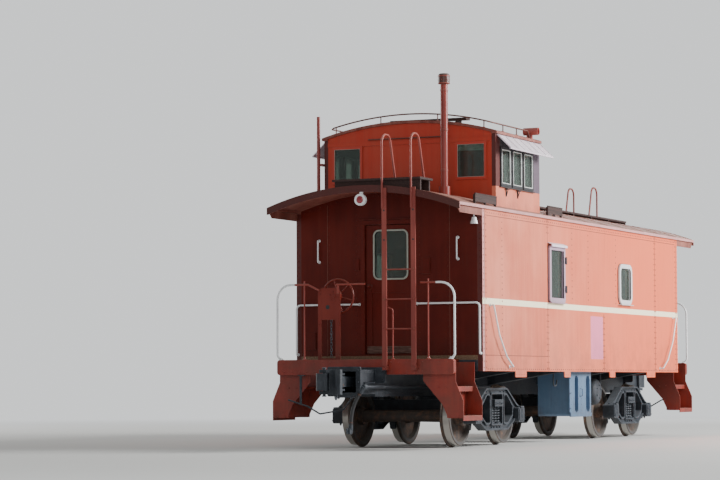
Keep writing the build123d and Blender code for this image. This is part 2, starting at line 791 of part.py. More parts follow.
def underframe():
    """Centre sill, bearers, side sills, end sills and centre plates in one welded frame."""
    top = height(H_PLATFORM_SILL)
    reach = -BEAM_X - END_BEAM
    pieces = [block((-reach, reach), (-CENTRE_SILL_HALF, CENTRE_SILL_HALF), (height(H_CENTRE_SILL), top))]
    for side in (-1, 1):
        pieces.append(block((END_X, -END_X), (side * (ROOM_Y - SIDE_SILL_WIDTH), side * ROOM_Y),
                            (height(H_SILL), top)))
    middle = height(H_CENTRE_SILL) + BEARER_RISE
    for x, half in BEARERS:
        bearer = outline(((-ROOM_Y, top), (-ROOM_Y, height(H_SILL)), (-CENTRE_SILL_HALF, middle),
                          (CENTRE_SILL_HALF, middle), (ROOM_Y, height(H_SILL)), (ROOM_Y, top)))
        pieces.append(cross_plate(bearer, x - BEARER_WIDTH / 2, BEARER_WIDTH))
    for x in (END_X, -END_X - 100):
        pieces.append(block((x, x + 100), (-ROOM_Y, ROOM_Y), (height(H_SILL), top)))
    frame = join(pieces)
    plate_low = height(H_CENTRE_PLATE) + SEAT_GAP
    for x in (-TRUCK_X, TRUCK_X):
        frame = frame + Pos(x, 0, (plate_low + height(H_CENTRE_SILL)) / 2) * Cylinder(
            CENTRE_PLATE_RADIUS, height(H_CENTRE_SILL) - plate_low)
    return frame


def platform():
    """Deck plate and the end beam with its rounded corners."""
    deck_half = TREADS[0][0] + 50
    deck = block((BEAM_X, END_X), (-deck_half, deck_half), (height(H_DECK) - DECK_PLATE, height(H_DECK)))
    beam = block((BEAM_X, BEAM_X + END_BEAM), (-PLATFORM_HALF, PLATFORM_HALF), (height(H_BEAM), height(H_DECK)))
    beam = fillet(beam.edges().filter_by(Axis.X), BEAM_CORNER)
    sill_space = block((BEAM_X + END_BEAM, END_X + 1), (-CENTRE_SILL_HALF - SEAT_GAP, CENTRE_SILL_HALF + SEAT_GAP),
                       (height(H_CENTRE_SILL), height(H_PLATFORM_SILL) + SEAT_GAP))
    return deck + beam - sill_space


def steps():
    """Right side steps of the cupola end: two lipped treads and a riser between raked stringers."""
    x_low = BEAM_X + END_BEAM
    x_high = x_low + STEP_LENGTH
    top = height(H_DECK) - DECK_PLATE
    (upper_in, upper_out, upper), (lower_in, lower_out, lower) = TREADS
    foot = height(lower) - TREAD_THICK - 4
    rake = outline(((-upper_out - 20, top), (-upper_in + 165, top), (-upper_in + 165, top - 260),
                    (-lower_in + 70, height(upper) - 240), (-lower_in - 20, foot), (-lower_out, foot),
                    (-lower_out, height(lower) + 200), (-upper_out - 20, height(upper) + 60)), 18, (0, 1))
    pieces = [cross_plate(rake, x, STRINGER) for x in (x_low, x_high - STRINGER)]
    for inner, outer, level in TREADS:
        z = height(level)
        tread = outline(((-outer, z), (-outer, z - TREAD_LIP), (-outer + LIP_THICK, z - TREAD_LIP),
                         (-outer + LIP_THICK, z - TREAD_THICK), (-inner, z - TREAD_THICK), (-inner, z)),
                        NOSING, (1, 2, 3, 4, 5))
        pieces.append(cross_plate(tread, x_low, STEP_LENGTH))
    pieces.append(block((x_low, x_high), (-lower_in - RISER, -lower_in),
                        (height(lower) - 5, height(upper) - TREAD_THICK + 1)))
    return join(pieces)


# Ladders, railings and brake stands


def ladder():
    """End ladder to the roof with its looped handrails; the two highest rungs are gone."""
    outer = ROOF_END_X - LADDER_THICK
    foot = height(H_BEAM) + 60
    loop_x = outer - 4
    loop_top = height(H_EAVE + LOOP_ABOVE_EAVE)
    board = height(H_WALK) + SEAT_GAP
    pieces = []
    for y in LADDER_RAILS:
        width = (y - LADDER_BAR / 2, y + LADDER_BAR / 2)
        pieces.append(block((outer, ROOF_END_X), width, (foot, height(H_EAVE + LADDER_ABOVE_EAVE))))
        pieces.append(block((ROOF_END_X, BEAM_X), width, (foot, foot + 60)))
        loop_y = y + LOOP_SHIFT
        pieces.append(pipe(((loop_x, loop_y, height(H_EAVE) - 60), (loop_x, loop_y, loop_top),
                            (loop_x + LOOP_WIDTH, loop_y, loop_top), (along(LOOP_FOOT), loop_y, board + 6)),
                           PIPE_RADIUS, LOOP_WIDTH / 2 - 6))
        pieces.append(Pos(along(LOOP_FOOT), loop_y, board + 5) * Cylinder(2 * PIPE_RADIUS, 10))
    middle = (outer + ROOF_END_X) / 2
    for i in range(RUNG_COUNT):
        z = height(RUNG_FIRST + i * RUNG_PITCH)
        pieces.append(rod((middle, LADDER_RAILS[1], z), (middle, LADDER_RAILS[0], z), RUNG_RADIUS))
    return above_roof(join(pieces), -2 * ROOF_END_X)


def end_railing():
    """Right and left railings of the cupola end with their posts, and the bent rod beside the ladder."""
    x = BEAM_X + RAIL_INSET
    deck = height(H_DECK)
    top = height(H_DECK + RAIL_ABOVE_DECK)
    pieces = []
    for side, start, post in ((-1, -LADDER_RAILS[1] + 60, 945), (1, 850, 913)):
        rail = pipe(((x, side * start, top), (x, side * RAIL_CORNER, top), (x, side * RAIL_CORNER, deck + 60),
                     (x, side * (RAIL_CORNER - 60), deck - 20)), PIPE_RADIUS, 55)
        pieces.append(rail + rod((x, side * post, deck - 20), (x, side * post, top + 50), RAIL_POST + 2))
    stand_rail = top - 85
    pieces[1] = pieces[1] + rod((x, 860, top), (x, STAND_Y[1] - 30, stand_rail), PIPE_RADIUS - 2)
    pieces.append(rod((x, STAND_Y[0] + 50, top - 5), (x, -7, top - 5), PIPE_RADIUS - 2))
    pieces.append(pipe(((x, -420, deck - 20), (x, -420, deck + 680), (x, -350, deck + 705)), RAIL_POST + 1, 30))
    below = block((x - 100, x + 100), (-SIDE_Y, SIDE_Y), (deck - 100, deck))
    return [piece - below for piece in pieces]


def bracket_rail(points, bend, radius, wall_ends):
    """A handrail with straight stubs back to its wall at both ends."""
    rail = pipe(points, radius, bend) if len(points) > 2 else rod(points[0], points[1], radius)
    for point, seat in zip((points[0], points[-1]), wall_ends):
        rail = rail + rod(point, seat, radius)
    return rail


def wall_rails():
    """Handrails on the end wall, grab irons beside the door and the sloping rails on the sides."""
    x = END_X - WALL_RAIL_OUT
    high = height(H_FLOOR + WALL_RAIL_UP)
    low = height(H_FLOOR + 25)
    start, end = WALL_RAIL_ENDS
    rails = []
    for side in (-1, 1):
        corner = ((x, side * start, high), (x, side * end, high), (x, side * end, low))
        seats = ((END_X, side * start, high), (END_X, side * end, low))
        rails.append(bracket_rail(corner, 60, PIPE_RADIUS - 1, seats))
        grab = [(x, side * GRAB_Y, height(H_FLOOR + up)) for up in GRAB_UP]
        rails.append(bracket_rail(grab, 0, RAIL_POST + 2, [(END_X, side * GRAB_Y, p[2]) for p in grab]))
        out = side * (SIDE_Y + SIDE_RAIL_OUT)
        slope = [(along(run), out, height(H_SILL + up)) for run, up in SIDE_RAIL]
        ends = [(p[0], side * SIDE_Y, p[2]) for p in (slope[0], slope[-1])]
        rails.append(bracket_rail(slope, 90, RAIL_POST + 3, ends))
    return rails


def hand_brake():
    """Brake stand plate with its open foot, the gear case and the spoked wheel behind it."""
    x = BEAM_X + RAIL_INSET + PIPE_RADIUS + SEAT_GAP
    low, high = STAND_Y
    deck = height(H_DECK)
    face = outline(((low, deck), (low, deck + STAND_HEIGHT), (high, deck + STAND_HEIGHT), (high, deck)),
                   STAND_SHOULDER, (0, 3))
    left, right = STAND_OPENING
    face = face - Pos((left + right) / 2, deck + (STAND_OPENING_TOP + 20) / 2) * Rectangle(
        right - left, STAND_OPENING_TOP - 20)
    plate = cross_plate(face, x, STAND_PLATE)
    axle_z = height(H_DECK + BRAKE_WHEEL_UP)
    wheel_x = x + 130
    case = drum_x((x + STAND_PLATE + 42, BRAKE_WHEEL_Y, axle_z), 85, 86)
    shaft = drum_x((wheel_x - 20, BRAKE_WHEEL_Y, axle_z), 18, 80)
    hub = drum_x((wheel_x, BRAKE_WHEEL_Y, axle_z), 40, 46)
    rim_section = Plane.XZ * Pos(BRAKE_WHEEL_RADIUS - BRAKE_RIM, 0) * RegularPolygon(BRAKE_RIM, 6)
    wheel = Pos(wheel_x, BRAKE_WHEEL_Y, axle_z) * Rot(0, 90, 0) * revolve(rim_section, Axis.Z)
    pieces = [plate, case, shaft, hub, wheel]
    for spoke in range(BRAKE_SPOKES):
        angle = radians(360 * spoke / BRAKE_SPOKES + 15)
        reach = BRAKE_WHEEL_RADIUS - BRAKE_RIM
        tip = (wheel_x, BRAKE_WHEEL_Y + reach * cos(angle), axle_z + reach * sin(angle))
        pieces.append(rod((wheel_x, BRAKE_WHEEL_Y, axle_z), tip, RAIL_POST))
    return join(pieces)


# Underfloor gear


def battery_box():
    """Box hung below the right side sill, with two upright slots, a bottom rim and a side flange."""
    x_low, x_high = BATTERY_X
    y_out, y_in = BATTERY_Y
    low, high = height(H_BATTERY_FOOT), height(H_SILL)
    face = outline(((x_low, high), (x_low, low), (x_high, low), (x_high, high)), 45, (0, 3))
    box = side_plate(face, y_out, y_in - y_out)
    rim = outline(((x_low - 12, low + 45), (x_low - 12, low - 10), (x_high + 12, low - 10), (x_high + 12, low + 45)),
                  40, (0, 3))
    box = box + side_plate(rim, y_out - 6, 30)
    box = box + block((x_low - 45, x_low), (y_out, y_out + 25), (low + 60, high))
    for start, width in BATTERY_SLOTS:
        slot = Pos(x_low + start + width / 2, (low + high) / 2) * RectangleRounded(width, SLOT_HEIGHT, 0.45 * width)
        box = box - side_plate(slot, y_out - 2, SLOT_DEPTH + 2)
    return box


def tank(radius, y_low, y_high):
    """A tank along Y with rounded ends."""
    drum = Cylinder(radius, y_high - y_low)
    drum = fillet(drum.edges().filter_by(GeomType.CIRCLE), radius * 0.4)
    return Pos(0, (y_low + y_high) / 2, 0) * Rot(90, 0, 0) * drum


def air_gear():
    """Reservoir and its drain pipes on the right, and the brake cylinder on the left, hung from the floor."""
    x = TRUCK_X - WHEELBASE / 2 - WHEEL_RADIUS - FLANGE_DEPTH - RESERVOIR_CLEAR - RESERVOIR_RADIUS
    z = height(H_RESERVOIR)
    floor = height(H_PLATFORM_SILL)
    low, high = RESERVOIR_Y
    reservoir = Pos(x, 0, z) * tank(RESERVOIR_RADIUS, low, high)
    for y in (low + 190, high - 140):
        reservoir = reservoir + block((x - 30, x + 30), (y - 30, y + 30), (z + RESERVOIR_RADIUS - 15, floor))
    riser_y = low + 60
    riser_x = x + RESERVOIR_RADIUS + 30
    low_z = z - 20
    drain = pipe(((riser_x, riser_y, floor), (riser_x, riser_y, low_z),
                  (x + RESERVOIR_RADIUS - 30, riser_y + 130, low_z)), PIPE_RADIUS, 45)
    near_x = -TRUCK_X + WHEELBASE / 2 + WHEEL_RADIUS + FLANGE_DEPTH + CYLINDER_CLEAR
    far_x = near_x + BRAKE_CYLINDER_LENGTH
    middle = (near_x + far_x) / 2
    cz = height(H_RESERVOIR + 65)
    y = BRAKE_CYLINDER_Y
    cylinder = drum_x((middle, y, cz), BRAKE_CYLINDER_RADIUS, BRAKE_CYLINDER_LENGTH)
    cylinder = cylinder + drum_x((far_x, y, cz), BRAKE_CYLINDER_RADIUS + 35, 24)
    cylinder = cylinder + block((middle - 60, middle + 60), (y - 60, y + 60), (cz + BRAKE_CYLINDER_RADIUS - 40, floor))
    hook_x = BATTERY_X[0] - 240
    hook_y = BATTERY_Y[0] + 190
    hook_low = height(H_SILL) - 215
    hook = pipe(((hook_x, hook_y, floor), (hook_x, hook_y, hook_low), (hook_x + 130, hook_y, hook_low),
                 (hook_x + 150, hook_y, hook_low + 95)), RAIL_POST + 2, 50)
    return [reservoir + drain, cylinder, hook]


def train_pipe():
    """Brake pipe from end to end: beside the striker, along the right, under the sill and along the left."""
    z = height(H_TRAIN_PIPE)
    under = height(H_CENTRE_SILL) - TRAIN_PIPE_RADIUS - 15
    start = BEAM_X - TRAIN_PIPE_END
    right = ((start, -TRAIN_PIPE_END_Y, z), (BEAM_X - 140, -TRAIN_PIPE_END_Y, z), (BEAM_X + 120, -TRAIN_PIPE_Y, z),
             (-CROSSING_X, -TRAIN_PIPE_Y, z), (-CROSSING_X, -TRAIN_PIPE_Y, under))
    left = ((-CROSSING_X, TRAIN_PIPE_Y, under), (-CROSSING_X, TRAIN_PIPE_Y, z), (-BEAM_X - 120, TRAIN_PIPE_Y, z),
            (-BEAM_X + 140, TRAIN_PIPE_END_Y, z), (-start, TRAIN_PIPE_END_Y, z))
    line = pipe(right + left, TRAIN_PIPE_RADIUS, 60)
    for x in (-TRUCK_X - 700, -TRUCK_X + 1000, -CROSSING_X - 300):
        line = line + hanger(x, -1, z)
    for x in (-CROSSING_X + 400, 900, TRUCK_X - 1000, TRUCK_X + 700):
        line = line + hanger(x, 1, z)
    return line + angle_cock(start, z) + turned(angle_cock(start, z))


def hanger(x, side, z):
    """A bracket from the train pipe to the centre sill."""
    return block((x - 20, x + 20), (side * TRAIN_PIPE_Y, side * (CENTRE_SILL_HALF + SEAT_GAP)), (z - 8, z + 8))


# Route of the air hose from the cock to the coupling, chosen by hand
HOSE_ROUTE = (
    (-6130, -290, 785),
    (-6142, -232, 690),
    (-6150, -192, 585),
    (-6155, -168, 472),
    (-6156, -160, 355),
)


def angle_cock(start, z):
    """Cock body on the pipe's end, with its handle and the slanted nozzle that takes the hose."""
    y = -TRAIN_PIPE_END_Y
    body = drum_x((start - COCK_LENGTH / 2, y, z), COCK_RADIUS, COCK_LENGTH)
    stem = block((start - 60, start - 40), (y - 12, y + 12), (z + 25, z + 62))
    handle = block((start - 60, start - 40), (y - 150, y + 12), (z + 54, z + 66))
    first, second = (Vector(*point) for point in HOSE_ROUTE[:2])
    inner = first - (second - first).normalized() * NOZZLE_LENGTH
    return body + stem + handle + rod(tuple(inner), tuple(first), HOSE_RADIUS + 6)


def corner_radius(before, at, after):
    """Largest arc that the two runs at a corner of the hose allow."""
    first = Vector(*at) - Vector(*before)
    second = Vector(*after) - Vector(*at)
    half_turn = radians(first.get_angle(second) / 2)
    return 0.45 * min(first.length, second.length) / tan(half_turn)


def air_hose():
    """Rubber brake hose that hangs from the cock of the cupola end."""
    radii = [corner_radius(*HOSE_ROUTE[i:i + 3]) for i in range(len(HOSE_ROUTE) - 2)]
    print("hose corner radii", [round(r) for r in radii])
    path = FilletPolyline(*HOSE_ROUTE, radius=radii)
    start = Plane(origin=path @ 0, z_dir=path % 0)
    print("hose length", round(path.length, 1))
    return sweep(start * Circle(HOSE_RADIUS), path=path)


def hose_coupling():
    """Glad hand on the hose's end: a socket and the hooked head with its face."""
    x, y, z = HOSE_ROUTE[-1]
    before = Vector(*HOSE_ROUTE[-2])
    down = (Vector(x, y, z) - before).normalized()
    socket_end = Vector(x, y, z) + down * 60
    socket = rod((x, y, z), tuple(socket_end), HOSE_RADIUS + 6)
    head = Pos(socket_end.X, socket_end.Y + 12, socket_end.Z - 25) * Rot(90, 0, 0) * Cylinder(46, 44)
    hook = block((x - 75, x - 20), (socket_end.Y + 22, socket_end.Y + 34), (socket_end.Z - 60, socket_end.Z + 10))
    return socket + head + hook


def uncoupling_lever():
    """Lever from its handle at the left corner to the coupler, on a bracket below the end beam."""
    x = BEAM_X - 30
    lever = pipe(((x, 1136, height(656)), (x, 841, height(569)), (x, 654, height(464)), (x, 300, height(520)),
                  (x - 90, 120, height(700))), LEVER_RADIUS, 40)
    bracket = block((x - 8, x + 8), (930, 960), (height(590), height(H_BEAM) - SEAT_GAP))
    under_beam = height(H_BEAM) - SEAT_GAP
    bracket = bracket + block((x - 8, BEAM_X + 30), (900, 990), (under_beam - 12, under_beam))
    reach = H_COUPLER - DRAFT_HEIGHT / 2 - 715 - SEAT_GAP
    eye = Pos(x - 90, 120, height(715)) * Cylinder(LEVER_RADIUS + 9, 2 * reach)
    return lever + bracket + eye


# Couplers


def draft_housing():
    """Open-ended box that carries the coupler beyond the end beam, with buffer block, striker and pivot pin."""
    z_mid = height(H_COUPLER)
    half_h = DRAFT_HEIGHT / 2
    inner_y = DRAFT_HALF - DRAFT_WALL
    inner_z = (z_mid - half_h + DRAFT_WALL, z_mid + half_h - DRAFT_WALL)
    shell = block((STRIKER_X, BEAM_X), (-DRAFT_HALF, DRAFT_HALF), (z_mid - half_h, z_mid + half_h))
    buffer = outline(((-BUFFER_HALF, z_mid - 20), (BUFFER_HALF, z_mid - 20), (BUFFER_HALF, z_mid + 200),
                      (-BUFFER_HALF, z_mid + 200)), 35)
    shell = shell + cross_plate(buffer, BEAM_X - BUFFER_THICK, BUFFER_THICK)
    striker = block((STRIKER_X - STRIKER_THICK, STRIKER_X), (-DRAFT_HALF - STRIKER_OUT, DRAFT_HALF + STRIKER_OUT),
                    (z_mid - half_h - 30, z_mid + half_h + 40))
    striker = fillet(striker.edges().filter_by(Axis.X), 25)
    shell = shell + striker
    shell = shell - block((STRIKER_X - STRIKER_THICK - 1, BEAM_X - DRAFT_WALL), (-inner_y, inner_y), inner_z)
    pin = Pos(COUPLER_PIVOT_X, 0, z_mid) * Cylinder(COUPLER_PIN_RADIUS, DRAFT_HEIGHT)
    tongue = block((BEAM_X, BEAM_X + END_BEAM), (-CENTRE_SILL_HALF, CENTRE_SILL_HALF),
                   (height(H_CENTRE_SILL), height(H_BEAM)))
    return shell + pin + tongue


def coupler():
    """Coupler shank and head: guard arm, knuckle lugs and the knuckle's pin."""
    z_mid = height(H_COUPLER)
    pivot = COUPLER_PIVOT_X
    pin_x, face_x = KNUCKLE_PIN_X, COUPLER_FACE_X
    back = pin_x + 70
    shank = block((back, pivot), (-SHANK_HALF, SHANK_HALF), (z_mid - SHANK_HALF, z_mid + SHANK_HALF))
    butt = Pos(pivot, 0, z_mid) * Cylinder(SHANK_HALF + 15, 2 * SHANK_HALF)
    face = outline(((back + 60, -SHANK_HALF), (back + 60, SHANK_HALF), (back, 150), (pin_x - 45, 165),
                    (pin_x - 45, 60), (pin_x + 10, -10), (pin_x + 10, -60), (face_x + 60, -120),
                    (face_x + 20, -200), (face_x + 70, -215), (back, -130)), 14, (0, 1, 4, 5, 6, 7))
    head = flat_plate(face, z_mid - HEAD_HEIGHT / 2, HEAD_HEIGHT)
    pocket_height = KNUCKLE_HEIGHT + 2 * KNUCKLE_GAP
    pocket = Pos(pin_x, KNUCKLE_PIN_Y, z_mid) * Cylinder(KNUCKLE_POCKET, pocket_height)
    pocket = pocket + block((pin_x - 300, pin_x),
                            (KNUCKLE_PIN_Y - KNUCKLE_POCKET, KNUCKLE_PIN_Y + KNUCKLE_POCKET + 12),
                            (z_mid - pocket_height / 2, z_mid + pocket_height / 2))
    pin = Pos(pin_x, KNUCKLE_PIN_Y, z_mid) * Cylinder(KNUCKLE_PIN_RADIUS, HEAD_HEIGHT + 30)
    bore = Pos(pivot, 0, z_mid) * Cylinder(COUPLER_PIN_RADIUS + SHAFT_GAP, 3 * SHANK_HALF)
    return shank + butt + (head - pocket) + pin - bore


def knuckle():
    """Hooked knuckle that swings open on its pin."""
    z_mid = height(H_COUPLER)
    pin_x, face_x = KNUCKLE_PIN_X, COUPLER_FACE_X
    boss = Pos(pin_x, KNUCKLE_PIN_Y, z_mid) * Cylinder(KNUCKLE_BOSS, KNUCKLE_HEIGHT)
    side_y = KNUCKLE_PIN_Y + KNUCKLE_BOSS
    hook = outline(((pin_x, side_y), (face_x + 60, side_y), (face_x, 120), (face_x, 10), (face_x + 25, -15),
                    (face_x + 75, -5), (face_x + 75, 70), (pin_x, 60)), 14, (0, 6, 7))
    solid = boss + flat_plate(hook, z_mid - KNUCKLE_HEIGHT / 2, KNUCKLE_HEIGHT)
    bore = Pos(pin_x, KNUCKLE_PIN_Y, z_mid) * Cylinder(KNUCKLE_PIN_RADIUS + SHAFT_GAP, KNUCKLE_HEIGHT + 2)
    return solid - bore


# Trucks


def wheelset(x):
    """Axle with two pressed-on wheels, one turned solid."""
    back = BACK_TO_BACK / 2
    tread = WHEEL_RADIUS
    front = back + WHEEL_WIDTH
    journal_start = (JOURNAL_SPACING - JOURNAL_LENGTH) / 2
    journal_end = (JOURNAL_SPACING + JOURNAL_LENGTH) / 2
    half = outline((
        (0, 0), (0, AXLE_RADIUS), (back - 30, AXLE_RADIUS + 8), (back - 30, 125), (back + 45, 130),
        (back + 62, 350), (back, 366), (back, tread + FLANGE_DEPTH - 14), (back + 9, tread + FLANGE_DEPTH),
        (back + 21, tread + FLANGE_DEPTH), (back + 34, tread + 3), (front - 8, tread - 4), (front, tread - 12),
        (front, 368), (back + 92, 352), (back + 78, 130), (front + 10, 122), (front + 10, AXLE_RADIUS),
        (journal_start, AXLE_RADIUS), (journal_start + 7, JOURNAL_RADIUS), (journal_end, JOURNAL_RADIUS),
        (journal_end, 0),
    ))
    one = revolve(half, Axis.X)
    return Pos(x, 0, AXLE_Z) * Rot(0, 0, 90) * (one + mirror(one, about=Plane.YZ))


def frame_face():
    """Outline of a side frame of (x, z) about the truck's middle at axle height, with its three windows."""
    reach = WHEELBASE / 2
    end = reach + BOX_HALF
    ring = outline(((-end, -75), (-end, 95), (-reach + 60, 165), (-400, FRAME_TOP), (400, FRAME_TOP),
                    (reach - 60, 165), (end, 95), (end, -75), (reach - BOX_HALF, -75), (430, -FRAME_FOOT),
                    (-430, -FRAME_FOOT), (-reach + BOX_HALF, -75)), 38)
    column = BOLSTER_WIDTH / 2 + 40
    bolster_top = height(H_CENTRE_PLATE) - AXLE_Z
    middle = outline(((-column, -SPRING_SEAT), (column, -SPRING_SEAT), (column, bolster_top + 65),
                      (-column, bolster_top + 65)), 16, (0, 1))
    ring = ring - middle
    for way in (-1, 1):
        ring = ring - outline(((way * 285, -108), (way * 285, 285), (way * 385, 285), (way * 620, 120),
                               (way * 600, -5), (way * 425, -108)), 26)
    return ring


def journal_box():
    """Box round the journal of the left side, closed by its hinged lid, and the bore for the journal."""
    axle_end = (JOURNAL_SPACING + JOURNAL_LENGTH) / 2 + JOURNAL_END_GAP
    inner = JOURNAL_SPACING / 2 - FRAME_THICK / 2 - 10
    box = side_plate(RectangleRounded(2 * BOX_HALF, 220, 45), inner, axle_end + BOX_LID / 2 - inner)
    lid = side_plate(Pos(0, 6) * RectangleRounded(2 * BOX_HALF - 50, 180, 55), axle_end, BOX_LID)
    ear = side_plate(Pos(0, 104) * RectangleRounded(90, 40, 12), axle_end - 30, BOX_LID + 22)
    bore = rod((0, inner - 2, 0), (0, axle_end, 0), JOURNAL_RADIUS + SHAFT_GAP)
    return box + lid + ear - bore, bore


def side_frame(side):
    """Cast side frame with flanged edges and its two journal boxes."""
    y_low = side * JOURNAL_SPACING / 2 - FRAME_THICK / 2
    face = frame_face()
    frame = side_plate(face, y_low, FRAME_THICK)
    sunk = offset(face, -24)
    web = FRAME_THICK / 2 - 30
    frame = frame - side_plate(sunk, y_low - 1, web + 1)
    frame = frame - side_plate(sunk, y_low + FRAME_THICK - web, web + 1)
    box, bore = journal_box()
    if side < 0:
        box, bore = mirrored(box), mirrored(bore)
    for x in (-WHEELBASE / 2, WHEELBASE / 2):
        frame = frame - Pos(x, 0, 0) * bore + Pos(x, 0, 0) * box
    return Pos(0, 0, AXLE_Z) * frame


def bolster():
    """Bolster across the truck, with the centre bowl and side bearings."""
    top = height(H_CENTRE_PLATE)
    reach = JOURNAL_SPACING / 2 + FRAME_THICK / 2 + 30
    half = BOLSTER_WIDTH / 2
    inner = JOURNAL_SPACING / 2 - FRAME_THICK / 2 - 40
    face = outline(((-reach, top - 10), (-reach, top - BOLSTER_END), (-inner, top - BOLSTER_END), (-420, top - 240),
                    (420, top - 240), (inner, top - BOLSTER_END), (reach, top - BOLSTER_END), (reach, top - 10)))
    solid = cross_plate(face, -half, 2 * half)
    solid = solid + Pos(0, 0, top + 5) * Cylinder(CENTRE_PLATE_RADIUS + 22, 30)
    solid = solid - Pos(0, 0, top + 15) * Cylinder(CENTRE_PLATE_RADIUS + SHAFT_GAP, 30)
    for side in (-1, 1):
        solid = solid + block((-90, 90), (side * 590, side * 680), (top - 10, top + 45))
    return solid


def springs():
    """Coil spring clusters between the side frames and the bolster ends."""
    low = AXLE_Z - SPRING_SEAT
    high = height(H_CENTRE_PLATE) - BOLSTER_END
    middle = (low + high) / 2
    group = []
    for y in (-JOURNAL_SPACING / 2, JOURNAL_SPACING / 2):
        for x in (-SPRING_PITCH, 0, SPRING_PITCH):
            group.append(Pos(x, y, middle) * Cylinder(SPRING_RADIUS, high - low))
    return group


def brake_beam(way):
    """Brake beam of one axle with its curved shoes close to the treads, hung from the side frames."""
    inner = WHEEL_RADIUS + BRAKE_GAP
    axle_x = way * WHEELBASE / 2
    beam_x = axle_x - way * (inner + SHOE_THICK + 10)
    hang_z = AXLE_Z + FRAME_TOP - 70
    frame_y = (JOURNAL_SPACING - FRAME_THICK) / 2
    wedge = outline(((0, 0), (-way * 900, 94), (-way * 900, -450)))
    shoe_face = (Circle(inner + SHOE_THICK) - Circle(inner)) & wedge
    shoe_y = BACK_TO_BACK / 2 + 92
    rod_y = frame_y - 75
    pieces = [block((beam_x - 30, beam_x + 30), (-rod_y - 15, rod_y + 15), (AXLE_Z - 80, AXLE_Z - 20))]
    for side in (-1, 1):
        shoe = side_plate(shoe_face, side * shoe_y - SHOE_WIDTH / 2, SHOE_WIDTH)
        pieces.append(Pos(axle_x, 0, AXLE_Z) * shoe)
        pieces.append(rod((beam_x, side * rod_y, AXLE_Z - 40), (beam_x, side * rod_y, hang_z), LEVER_RADIUS))
        pieces.append(block((beam_x - 25, beam_x + 25), (side * (rod_y - 5), side * frame_y),
                            (hang_z - 20, hang_z + 20)))
    return join(pieces)


# Lamps


def lamps():
    """Marker lamps under the roof ends, small lamps under the roof corners and a searchlight on the cupola."""
    marker_z = height(H_CROWN) - 205
    marker = drum_x((ROOF_END_X - 30, 0, marker_z), 80, 60)
    marker = marker + block((ROOF_END_X - 20, ROOF_END_X + FASCIA_THICK), (-20, 20),
                            (marker_z + 15, height(H_CROWN) - FASCIA_DEPTH - SEAT_GAP))
    cone_z = height(H_EAVE - 210)
    flood = Pos(along(-100), -1340, cone_z) * Cone(55, 30, 90)
    flood = flood + rod((along(-100), -1340, cone_z), (along(-100), -1340, height(H_EAVE) - ROOF_SHEET), 10)
    light_x, light_z = along(2450), cupola_z(1130) + 76
    light = rod((light_x, -1130, light_z), (light_x, -CUPOLA_ROOF_HALF, light_z), 55)
    light = light - rod((light_x, -CUPOLA_ROOF_HALF + 50, light_z), (light_x, -CUPOLA_ROOF_HALF - 1, light_z), 46)
    foot = block((light_x - 25, light_x + 25), (-1260, -1180), (cupola_z(1260) - 20, light_z - 40))
    return both_ends(marker) + [flood, turned(flood), light + above_cupola(foot)]


NODES = {}
NODES["underframe"] = [underframe()]
near_platform = platform()
NODES["platform_near"] = [near_platform]
NODES["platform_far"] = [turned(near_platform)]
near_steps = [steps(), mirrored(steps())]
NODES["corner_steps"] = near_steps + [turned(s) for s in near_steps]
NODES["cabin_floor"] = [block((END_X, -END_X), (-ROOM_Y, ROOM_Y), (height(H_FLOOR - FLOOR_THICK), height(H_FLOOR)))]
right_wall = side_wall()
NODES["side_wall_right"] = [right_wall]
NODES["side_wall_left"] = [mirrored(right_wall)]
near_wall = end_wall()
NODES["end_wall_near"] = [near_wall]
NODES["end_wall_far"] = [turned(near_wall)]
NODES["roof"] = [roof()]
right_cupola = cupola_side()
NODES["cupola_wall_right"] = [right_cupola]
NODES["cupola_wall_left"] = [mirrored(right_cupola)]
for end, (outward, face_x) in zip(("near", "far"), CUPOLA_ENDS):
    NODES["cupola_wall_" + end] = [cupola_end(outward, face_x)]
NODES["cupola_roof"] = [cupola_roof()]
NODES["window_frames"] = window_frames()
NODES["window_glass"] = window_glass()
NODES["window_awnings"] = awnings()
NODES["roof_walks"] = roof_walk()
NODES["cupola_rails"] = cupola_rails()
NODES["smokestack"] = [smokestack()]
NODES["vent_pipe"] = [vent_pipe()]
NODES["end_ladders"] = both_ends(ladder())
near_railing = end_railing()
NODES["end_railings"] = near_railing + [turned(r) for r in near_railing]
near_rails = wall_rails()
NODES["handrails"] = near_rails + [turned(r) for r in near_rails]
NODES["hand_brakes"] = both_ends(hand_brake())
NODES["lamps"] = lamps()
NODES["battery_box"] = [battery_box()]
NODES["air_brake_gear"] = air_gear()
NODES["train_pipe"] = [train_pipe()]
NODES["air_hose_near"] = [air_hose()]
NODES["hose_coupling_near"] = [hose_coupling()]
NODES["uncoupling_levers"] = both_ends(uncoupling_lever())
NODES["draft_housings"] = both_ends(draft_housing())

near_door = door()
near_glass = door_glass()
near_coupler = coupler()
near_knuckle = knuckle()
for end, place in (("near", lambda s: s), ("far", turned)):
    NODES["door_" + end] = [place(near_door)]
    NODES["door_glass_" + end] = [place(near_glass)]
    NODES["coupler_" + end] = [place(near_coupler)]
    NODES["knuckle_" + end] = [place(near_knuckle)]

frames = [side_frame(side) for side in (-1, 1)]
beam = bolster()
coils = springs()
beams = [brake_beam(way) for way in (-1, 1)]
for end, outward in (("near", -1), ("far", 1)):
    seat = Pos(outward * TRUCK_X, 0, 0)
    NODES["side_frames_" + end] = [seat * frame for frame in frames]
    NODES["bolster_" + end] = [seat * beam]
    NODES["springs_" + end] = [seat * coil for coil in coils]
    NODES["brake_beams_" + end] = [seat * brake for brake in beams]
    for name, way in (("outer", outward), ("inner", -outward)):
        NODES["wheelset_" + end + "_" + name] = [wheelset(outward * TRUCK_X + way * WHEELBASE / 2)]

